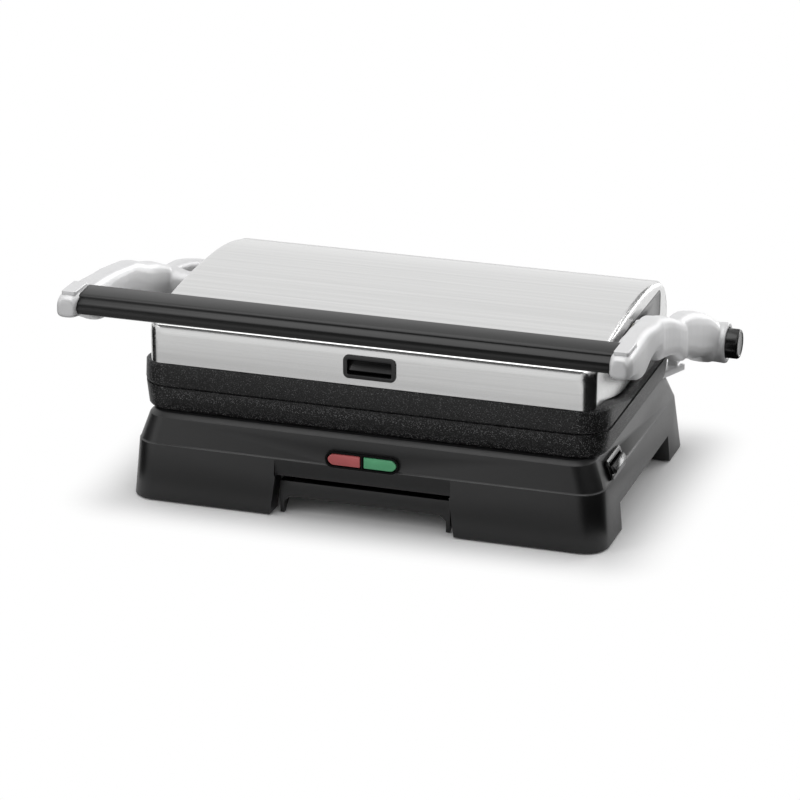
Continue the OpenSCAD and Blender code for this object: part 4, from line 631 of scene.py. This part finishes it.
v_lift = math_node(screw_tree, "MULTIPLY", v_dome, math_node(screw_tree, "LESS_THAN", v_split.outputs["Z"], 0.0))
v_shift = shape_node(screw_tree, "ShaderNodeCombineXYZ", {"Z": v_lift})
v_domed = shape_node(screw_tree, "GeometryNodeSetPosition",
                     {"Geometry": v_head.outputs["Mesh"], "Offset": v_shift.outputs[0]})
v_wide = math_node(screw_tree, "MULTIPLY", v_in.outputs["Head Radius"], CROSS_LONG)
v_thin = math_node(screw_tree, "MULTIPLY", v_in.outputs["Head Radius"], CROSS_WIDE)
v_arms = []
for along in (0, 1):
    v_size = shape_node(screw_tree, "ShaderNodeCombineXYZ",
                        {"X": (v_wide, v_thin)[along], "Y": (v_thin, v_wide)[along], "Z": v_in.outputs["Head Height"]})
    v_arms.append(shape_node(screw_tree, "GeometryNodeMeshCube", {"Size": v_size.outputs[0]}).outputs["Mesh"])
v_cross = screw_tree.nodes.new("GeometryNodeJoinGeometry")
for arm in v_arms:
    screw_tree.links.new(arm, v_cross.inputs[0])
v_down = shape_node(screw_tree, "ShaderNodeCombineXYZ",
                    {"Z": math_node(screw_tree, "MULTIPLY", v_in.outputs["Head Height"], CROSS_DOWN)})
v_low = shape_node(screw_tree, "GeometryNodeTransform",
                   {"Geometry": v_cross.outputs[0], "Translation": v_down.outputs[0]})
v_cut = shape_node(screw_tree, "GeometryNodeMeshBoolean",
                   {"Mesh 1": v_domed.outputs[0], "Mesh 2": v_low.outputs[0]}, operation="DIFFERENCE")
v_shank_l = math_node(screw_tree, "SUBTRACT", v_in.outputs["Length"], v_in.outputs["Head Height"])
v_core_r = math_node(screw_tree, "MULTIPLY", v_in.outputs["Shank Radius"], CORE_SHARE)
v_core = shape_node(screw_tree, "GeometryNodeMeshCylinder",
                    {"Vertices": 16, "Radius": v_core_r, "Depth": v_shank_l})
v_half = math_node(screw_tree, "MULTIPLY", v_in.outputs["Length"], 0.5)
v_core_up = shape_node(screw_tree, "GeometryNodeTransform",
                       {"Geometry": v_core.outputs["Mesh"],
                        "Translation": shape_node(screw_tree, "ShaderNodeCombineXYZ", {"Z": v_half}).outputs[0]})
v_turns = math_node(screw_tree, "DIVIDE", v_shank_l, v_in.outputs["Thread Pitch"])
v_thread_r = math_node(screw_tree, "MULTIPLY", v_in.outputs["Shank Radius"], THREAD_AT)
v_helix = shape_node(screw_tree, "GeometryNodeCurveSpiral",
                     {"Resolution": 14, "Rotations": v_turns, "Start Radius": v_thread_r, "End Radius": v_thread_r,
                      "Height": math_node(screw_tree, "MULTIPLY", v_shank_l, THREAD_RISE)})
v_thick = math_node(screw_tree, "MULTIPLY", v_in.outputs["Shank Radius"], THREAD_THICK)
v_ridge = shape_node(screw_tree, "GeometryNodeCurvePrimitiveCircle", {"Resolution": 4, "Radius": v_thick})
v_thread = shape_node(screw_tree, "GeometryNodeCurveToMesh",
                      {"Curve": v_helix.outputs[0], "Profile Curve": v_ridge.outputs[0], "Fill Caps": True})
v_seat = math_node(screw_tree, "MULTIPLY", v_in.outputs["Head Height"], 0.5)
v_thread_up = shape_node(screw_tree, "GeometryNodeTransform",
                         {"Geometry": v_thread.outputs[0],
                          "Translation": shape_node(screw_tree, "ShaderNodeCombineXYZ", {"Z": v_seat}).outputs[0]})
v_whole = screw_tree.nodes.new("GeometryNodeJoinGeometry")
for part in (v_cut.outputs["Mesh"], v_core_up.outputs[0], v_thread_up.outputs[0]):
    screw_tree.links.new(part, v_whole.inputs[0])
v_any = shape_node(screw_tree, "FunctionNodeRandomValue", {"Seed": v_in.outputs["Seed"]}, data_type="FLOAT")
v_any.inputs[3].default_value = 2 * math.pi
v_turn = shape_node(screw_tree, "ShaderNodeCombineXYZ", {"Z": v_any.outputs[1]})
finish_shape_tree(screw_tree, v_whole.outputs[0], v_in.outputs["Places"], v_turn.outputs[0], v_in, v_out)
SCREW_HEADS = {"base_screws": (3.6, 2.15), "frame_screws": (3.2, 2.25), "bracket_screws": (3.0, 2.1)}
SHANK_R, THREAD_PITCH = 1.55 * MM, 1.1 * MM
for seed, (node, body) in enumerate((("base_screws", "base"), ("frame_screws", "lid"), ("bracket_screws", "base"))):
    low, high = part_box(node)
    head_r, head_h = (size * MM for size in SCREW_HEADS[node])
    rows = {round(y, 5) for y in (low.y + head_r, high.y - head_r)}
    repeated(screw_tree, node[:-1] + "_set", body,
             [(x, y, low.z + head_h / 2) for x in (low.x + head_r, high.x - head_r) for y in sorted(rows)],
             {"Head Radius": head_r, "Head Height": head_h, "Shank Radius": SHANK_R, "Length": high.z - low.z,
              "Thread Pitch": THREAD_PITCH, "Seed": seed, "Material": zinc}, node)
paint("pivot_clips", wire)

# ---------- springs of the releases ----------
# Three small compression springs of round wire with closed ends. Each stands between its button and a fixed wall.
spring_tree, s_in, s_out = new_shape_tree("closed_end_spring", [
    ("Coil Radius", "NodeSocketFloat"), ("Wire Radius", "NodeSocketFloat"), ("Length", "NodeSocketFloat"),
    ("Turns", "NodeSocketFloat"), ("Direction", "NodeSocketVector"), ("Material", "NodeSocketMaterial")])
CLOSED_SHARE = 0.6
s_twice = math_node(spring_tree, "MULTIPLY", s_in.outputs["Wire Radius"], 2.0)
s_climb = math_node(spring_tree, "SUBTRACT", s_in.outputs["Length"], s_twice)
s_helix = shape_node(spring_tree, "GeometryNodeCurveSpiral",
                     {"Resolution": 28, "Rotations": s_in.outputs["Turns"], "Start Radius": s_in.outputs["Coil Radius"],
                      "End Radius": s_in.outputs["Coil Radius"], "Height": s_climb})
s_place = shape_node(spring_tree, "GeometryNodeInputPosition")
s_split = shape_node(spring_tree, "ShaderNodeSeparateXYZ", {"Vector": s_place.outputs[0]})
s_ease = shape_node(spring_tree, "ShaderNodeMapRange",
                    {"Value": s_split.outputs["Z"], "From Max": s_climb, "To Max": s_climb},
                    interpolation_type="SMOOTHSTEP")
s_gap = math_node(spring_tree, "SUBTRACT", s_ease.outputs["Result"], s_split.outputs["Z"])
s_close = math_node(spring_tree, "MULTIPLY_ADD", s_gap, CLOSED_SHARE)
spring_tree.links.new(s_in.outputs["Wire Radius"], s_close.node.inputs[2])
s_shift = shape_node(spring_tree, "ShaderNodeCombineXYZ", {"Z": s_close})
s_moved = shape_node(spring_tree, "GeometryNodeSetPosition",
                     {"Geometry": s_helix.outputs[0], "Offset": s_shift.outputs[0]})
s_round = shape_node(spring_tree, "GeometryNodeCurvePrimitiveCircle",
                     {"Resolution": 10, "Radius": s_in.outputs["Wire Radius"]})
s_coil = shape_node(spring_tree, "GeometryNodeCurveToMesh",
                    {"Curve": s_moved.outputs[0], "Profile Curve": s_round.outputs[0], "Fill Caps": True})
finish_shape_tree(spring_tree, s_coil.outputs[0], s_in.outputs["Places"], s_in.outputs["Direction"], s_in, s_out)

ALONG_X, ALONG_MINUS_Y = (0, math.pi / 2, 0), (math.pi / 2, 0, 0)
for node, body, joint, fixed, direction, coil_r, wire_r, turns in (
        ("lower_release_spring", "base", "lower_release_press", 138.5 * MM, ALONG_X, 2.55 * MM, 0.4 * MM, 5.0),
        ("upper_release_spring", "lid", "upper_release_press", -59.6 * MM, ALONG_MINUS_Y, 2.55 * MM, 0.4 * MM, 5.0),
        ("hinge_release_spring", "arms", "hinge_release_press", 186.3 * MM, ALONG_X, 5.0 * MM, 0.35 * MM, 2.5)):
    low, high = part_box(node)
    mid = (low + high) / 2
    if direction is ALONG_X:
        length, start, axis, anchor = high.x - low.x, (low.x, mid.y, mid.z), (1, 0, 0), (fixed, mid.y, mid.z)
    else:
        length, start, axis, anchor = high.y - low.y, (mid.x, high.y, mid.z), (0, -1, 0), (mid.x, fixed, mid.z)
    coil = repeated(spring_tree, node + "_coil", body, [start],
                    {"Coil Radius": coil_r, "Wire Radius": wire_r, "Length": length, "Turns": turns,
                     "Direction": direction, "Material": wire}, node, 60.0)
    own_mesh(coil)

# ---------- small electrical pieces and bearings ----------
# Glazed ceramic bodies, a green lamp board, and natural nylon washers and bushings.
ceramic = moulded("glazed_ceramic", (0.62, 0.6, 0.54), (0.74, 0.72, 0.66), 0.18, 500.0, 0.01 * MM,
                  (0.8, 0.78, 0.72), 0.3)
nylon = moulded("natural_nylon", (0.6, 0.58, 0.5), (0.7, 0.68, 0.6), 0.4, 800.0, 0.02 * MM, (0.74, 0.72, 0.64))
board = moulded("lamp_board_green", (0.03, 0.11, 0.035), (0.05, 0.16, 0.05), 0.35, 400.0, 0.02 * MM, (0.1, 0.2, 0.1))
for node in ("lower_thermostat", "terminal_block", "upper_thermal_fuse"):
    paint(node, ceramic)
for node in ("hinge_washers", "pivot_bushings"):
    paint(node, nylon)
paint("lamp_board", board)
paint("cord_gland", trim_black)

# ---------- cast arms and brackets ----------
# Two arms and two hinge brackets, die cast in aluminium and painted satin silver. Lobe,
# boss and barrel run into each other in soft fillets.


def cast_silver(name, roughness):
    """Satin paint on a casting: a little metal in it, with a very fine grain."""
    made, tree, shader = new_material(name, 0.3, roughness)
    grain_node = use_group(tree, grain_group, Scale=2600.0)
    wear_and_highlight_node = use_group(tree, wear_and_highlight_group, Gain=1.5)
    base = mix_colour(tree, grain_node.outputs["Mottle"], (0.64, 0.64, 0.645), (0.7, 0.7, 0.705))
    # the edges are painted paler: partly wear, partly painted highlight
    tree.links.new(mix_colour(tree, wear_and_highlight_node.outputs["Mask"], base, (0.8, 0.8, 0.8)), shader.inputs["Base Color"])
    rough = math_node(tree, "MULTIPLY_ADD", grain_node.outputs["Scuff"], 0.15)
    rough.node.inputs[2].default_value = roughness
    tree.links.new(rough, shader.inputs["Roughness"])
    add_bump(tree, shader, grain_node.outputs["Height"], 0.012 * MM)
    return made


silver = cast_silver("satin_silver", 0.42)


HINGE_Y, HINGE_Z = 126.4 * MM, 80.4 * MM
BARREL_R, BORE_R = 14.2 * MM, 11.2 * MM
BORE_FLOOR = 186.3 * MM
BORE_CLEAR, FLOOR_BAND, FLOOR_SUNK = 0.2 * MM, 0.7 * MM, 0.1 * MM
COLLAR_FROM, COLLAR_TO, COLLAR_EDGE = 187.5 * MM, 199.3 * MM, 0.5 * MM
NOSE_Y, NOSE_MID_Z = -128 * MM, 150 * MM
NOSE_FADE = 26 * MM
NOSE_KEEP = 0.5


def lift_nose(mesh):
    """The underside of the arm's nose is raised under the grip's end, so that it deepens behind it."""
    for v in mesh.vertices:
        if v.co.z < NOSE_MID_Z and v.co.y < NOSE_Y + NOSE_FADE:
            t = min(max((v.co.y - NOSE_Y) / NOSE_FADE, 0.0), 1.0)
            keep = NOSE_KEEP + (1 - NOSE_KEEP) * t * t * (3 - 2 * t)
            v.co.z = NOSE_MID_Z + (v.co.z - NOSE_MID_Z) * keep


def add_collar(mesh, side):
    """The barrel's turned end: a clean bore and a crisp ring round it, in the same casting."""
    for v in mesh.vertices:
        y, z = v.co.y - HINGE_Y, v.co.z - HINGE_Z
        r = math.hypot(y, z)
        if side * v.co.x > BORE_FLOOR + FLOOR_BAND and 0 < r < BORE_R + BORE_CLEAR:
            v.co.y, v.co.z = HINGE_Y + y * (BORE_R + BORE_CLEAR) / r, HINGE_Z + z * (BORE_R + BORE_CLEAR) / r
        elif side * v.co.x > BORE_FLOOR - FLOOR_SUNK and r < BORE_R:
            v.co.x = side * (BORE_FLOOR - FLOOR_SUNK)
    edge = COLLAR_EDGE
    profile = [(COLLAR_FROM, BORE_R), (COLLAR_FROM, BARREL_R), (COLLAR_TO - edge, BARREL_R),
               (COLLAR_TO - edge * 0.3, BARREL_R - edge * 0.3), (COLLAR_TO, BARREL_R - edge),
               (COLLAR_TO, BORE_R + edge * 0.6), (COLLAR_TO - edge * 0.6, BORE_R)]
    count = 72
    bm = bmesh.new()
    bm.from_mesh(mesh)
    rings = [[bm.verts.new((side * x, HINGE_Y + r * math.cos(2 * math.pi * k / count),
                            HINGE_Z + r * math.sin(2 * math.pi * k / count))) for k in range(count)]
             for x, r in profile]
    made = [bm.faces.new((rings[j][k], rings[j][(k + 1) % count], rings[(j + 1) % len(rings)][(k + 1) % count],
                          rings[(j + 1) % len(rings)][k])) for j in range(len(rings)) for k in range(count)]
    bmesh.ops.recalc_face_normals(bm, faces=made)
    bm.to_mesh(mesh)
    bm.free()


def cast_copy(node, name, body, voxel_mm, rounds, reshape=None, collar=0):
    """Stands for a cast node: its skin is remade in small squares and relaxed into fillets."""
    mesh = clean_mesh(node)
    if reshape:
        reshape(mesh)
    thing = bpy.data.objects.new(name + "_work", mesh)
    scene.collection.objects.link(thing)
    skin = thing.modifiers.new("skin", "REMESH")
    skin.mode = "VOXEL"
    skin.voxel_size = voxel_mm * MM
    relax = thing.modifiers.new("relax", "SMOOTH")
    relax.factor = 0.5
    relax.iterations = rounds
    piece = settle(thing, name, body, silver, 60.0)
    if collar:
        add_collar(piece.data, collar)
        piece.data.polygons.foreach_set("use_smooth", [True] * len(piece.data.polygons))
        piece.data.set_sharp_from_angle(angle=math.radians(50))
    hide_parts(node)


cast_copy("arm_left", "arm_casting_left", "arms", 0.8, 6, lift_nose, -1)
cast_copy("arm_right", "arm_casting_right", "arms", 0.8, 6, lift_nose, 1)
cast_copy("hinge_bracket_left", "bracket_casting_left", "base", 0.7, 3)
cast_copy("hinge_bracket_right", "bracket_casting_right", "base", 0.7, 3)
rounded_copy("arm_screw_covers", "arm_plugs", "arms", silver, 0.8, 3)

# ---------- grip ----------
# One black bar from arm to arm over a steel tube, flat on top with a groove and a soft
# front that the fingers close round.
grip_black = moulded("grip_black", (0.006, 0.006, 0.006), (0.01, 0.01, 0.01), 0.28, 1300.0, 0.012 * MM,
                     (0.022, 0.022, 0.022), shine=0.34)
rounded_copy("grip_bar", "grip_shell", "arms", grip_black, 0.9, 3, 20.0)

# ---------- grill plates ----------
# Cast aluminium plates with ridges, a gutter and a drain, sprayed with a dark non-stick
# coating that is full of pale flecks.
fleck_group, k_in, k_out = new_group(
    "coating_flecks",
    [("Scale", "NodeSocketFloat", 900.0)],
    [("Fleck", "NodeSocketFloat"), ("Height", "NodeSocketFloat")])
k_coord = fleck_group.nodes.new("ShaderNodeTexCoord").outputs["Object"]
k_cells = fleck_group.nodes.new("ShaderNodeTexVoronoi")
fleck_group.links.new(k_coord, k_cells.inputs["Vector"])
fleck_group.links.new(k_in.outputs["Scale"], k_cells.inputs["Scale"])
k_split = fleck_group.nodes.new("ShaderNodeSeparateColor")
fleck_group.links.new(k_cells.outputs["Color"], k_split.inputs[0])
FLECK_R, FLECK_SHARE_OFF, FLECK_DIM = 0.42, 0.35, 1.6
k_near = math_node(fleck_group, "LESS_THAN", k_cells.outputs["Distance"], FLECK_R)
k_some = math_node(fleck_group, "GREATER_THAN", k_split.outputs[0], FLECK_SHARE_OFF)
k_pale = math_node(fleck_group, "MULTIPLY", k_near, k_some)
k_tone = math_node(fleck_group, "POWER", math_node(fleck_group, "MULTIPLY", k_pale, k_split.outputs[1]), FLECK_DIM)
fleck_group.links.new(k_tone, k_out.inputs["Fleck"])
k_mist = noise_node(fleck_group, k_coord, 1600.0, 2.0, 0.6)
fleck_group.links.new(math_node(fleck_group, "ADD", k_mist, k_pale), k_out.inputs["Height"])

coating, c_tree, c_shader = new_material("speckled_coating", 0.0, 0.46, 0.0, 0.36)
c_fleck = use_group(c_tree, fleck_group, Scale=1600.0)
c_grain = use_group(c_tree, grain_group, Scale=1800.0)
c_base = mix_colour(c_tree, c_grain.outputs["Mottle"], (0.0035, 0.0035, 0.0036), (0.006, 0.006, 0.0062))
c_spot = mix_colour(c_tree, c_fleck.outputs["Fleck"], c_base, (0.3, 0.3, 0.304))
c_tree.links.new(c_spot, c_shader.inputs["Base Color"])
add_bump(c_tree, c_shader, c_fleck.outputs["Height"], 0.06 * MM)

PLATE_CORNER_R = 20 * MM
SHADOW_STEP_Z, SHADOW_STEP_IN = 79.2 * MM, 1.8 * MM
STEP_EDGE, STEP_ABOVE, RIM_SKIN = 0.05 * MM, 0.02 * MM, 1.5 * MM


def inside_outline(x, y, low, high, corner_r):
    """Depth of a point inside a rounded rectangle, and the outward direction there."""
    mid = ((low.x + high.x) / 2, (low.y + high.y) / 2)
    q = [abs(p - m) - ((b - a) / 2 - corner_r) for p, m, a, b in zip((x, y), mid, (low.x, low.y), (high.x, high.y))]
    over = [max(c, 0.0) for c in q]
    length = math.hypot(*over)
    depth = corner_r - length - min(max(q), 0.0)
    if length:
        out = [c / length for c in over]
    else:
        out = [float(q[0] >= q[1]), float(q[1] > q[0])]
    return depth, [math.copysign(c, p - m) for c, p, m in zip(out, (x, y), mid)]


def shadow_step(mesh):
    """The lower plate's rim is set back under the upper one, which leaves the dark joint line."""
    low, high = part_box("lower_plate")
    bm = bmesh.new()
    bm.from_mesh(mesh)
    for z in (SHADOW_STEP_Z, SHADOW_STEP_Z + STEP_EDGE):
        bmesh.ops.bisect_plane(bm, geom=bm.verts[:] + bm.edges[:] + bm.faces[:], plane_co=(0, 0, z), plane_no=(0, 0, 1))
    for v in bm.verts:
        if v.co.z > SHADOW_STEP_Z + STEP_ABOVE:
            depth, out = inside_outline(v.co.x, v.co.y, low, high, PLATE_CORNER_R)
            if depth < RIM_SKIN:
                v.co.x -= out[0] * SHADOW_STEP_IN
                v.co.y -= out[1] * SHADOW_STEP_IN
    bm.to_mesh(mesh)
    bm.free()


rounded_copy("lower_plate", "lower_grill_casting", "lower_grill_plate", coating, 0.3, reshape=shadow_step)
rounded_copy("upper_plate", "upper_grill_casting", "upper_grill_plate", coating, 0.4)

# ---------- lid ----------
# One bent steel sheet, brushed from side to side, closes the lid. Black mouldings fill the
# openings behind the arms and the back.
brushed, b_tree, b_shader = new_material("brushed_steel", 1.0, 0.3)
b_lines = use_group(b_tree, lines_group, Stretch=(14.0, 2600.0, 2600.0))
b_wear_and_highlight = use_group(b_tree, wear_and_highlight_group, Gain=1.2)
b_base = mix_colour(b_tree, b_lines.outputs["Streak"], (0.52, 0.52, 0.517), (0.79, 0.79, 0.786))
# the edges are painted paler: partly wear, partly painted highlight
b_tree.links.new(mix_colour(b_tree, b_wear_and_highlight.outputs["Mask"], b_base, (0.85, 0.85, 0.85)), b_shader.inputs["Base Color"])
b_rough = math_node(b_tree, "MULTIPLY_ADD", b_lines.outputs["Streak"], 0.12)
b_rough.node.inputs[2].default_value = 0.18
b_tree.links.new(b_rough, b_shader.inputs["Roughness"])
add_bump(b_tree, b_shader, b_lines.outputs["Height"], 0.003 * MM)

BEND_R, BEND_TOP_Z = 5 * MM, 121.2 * MM
LIFT, LIFT_FADE, LIFT_EASE = 3.0 * MM, 70 * MM, 0.6
COVER_CORNER_R = 9 * MM


def tight_bend(mesh):
    """The front bend is tight and its top edge raised, so the face stands up almost to the top."""
    low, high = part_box("lid_cover")
    for v in mesh.vertices:
        rise = (v.co.z - (BEND_TOP_Z - BEND_R)) / BEND_R
        depth, out = inside_outline(v.co.x, v.co.y, low, high, COVER_CORNER_R)
        reach = 1 - depth / BEND_R
        if rise > 0:
            back = min(max((v.co.y - low.y - BEND_R) / LIFT_FADE, 0.0), 1.0)
            up = min(rise / LIFT_EASE, 1.0)
            v.co.z += LIFT * up * up * (3 - 2 * up) * (1 - back * back * (3 - 2 * back))
        if rise > 0.01 and reach > 0.01 and out[1] < 0:
            ratio = math.hypot(rise, reach)
            grow = out[1] ** 2 * ((ratio ** 4 / (rise ** 4 + reach ** 4)) ** 0.25 - 1)
            v.co.z += grow * rise * BEND_R
            v.co.x += grow * reach * BEND_R * out[0]
            v.co.y += grow * reach * BEND_R * out[1]


rounded_copy("lid_cover", "lid_sheet", "lid", brushed, 0.25, 1, 34.0, tight_bend)
rounded_copy("lid_side_plates", "side_fillers", "lid", trim_black, 0.3)
rounded_copy("lid_rear_cap", "rear_closure", "lid", housing_black, 0.6)
paint("lid_frame", trim_black)

# ---------- releases ----------
# Three sprung buttons: one in the lid's front, one on the base's right slope and the round
# one in the right barrel. The left barrel has a plain domed plug.
for node, body, size in (("upper_latch_bezel", "lid", 0.5), ("upper_release_button", "upper_release", 0.4),
                         ("lower_latch_bezel", "base", 0.4), ("lower_release_button", "lower_release", 0.4)):
    rounded_copy(node, node + "_moulding", body, trim_black, size)
rounded_copy("hinge_release_button", "hinge_button_moulding", "hinge_release", trim_black, 0.6, 3)
paint("hinge_end_cap", trim_black)
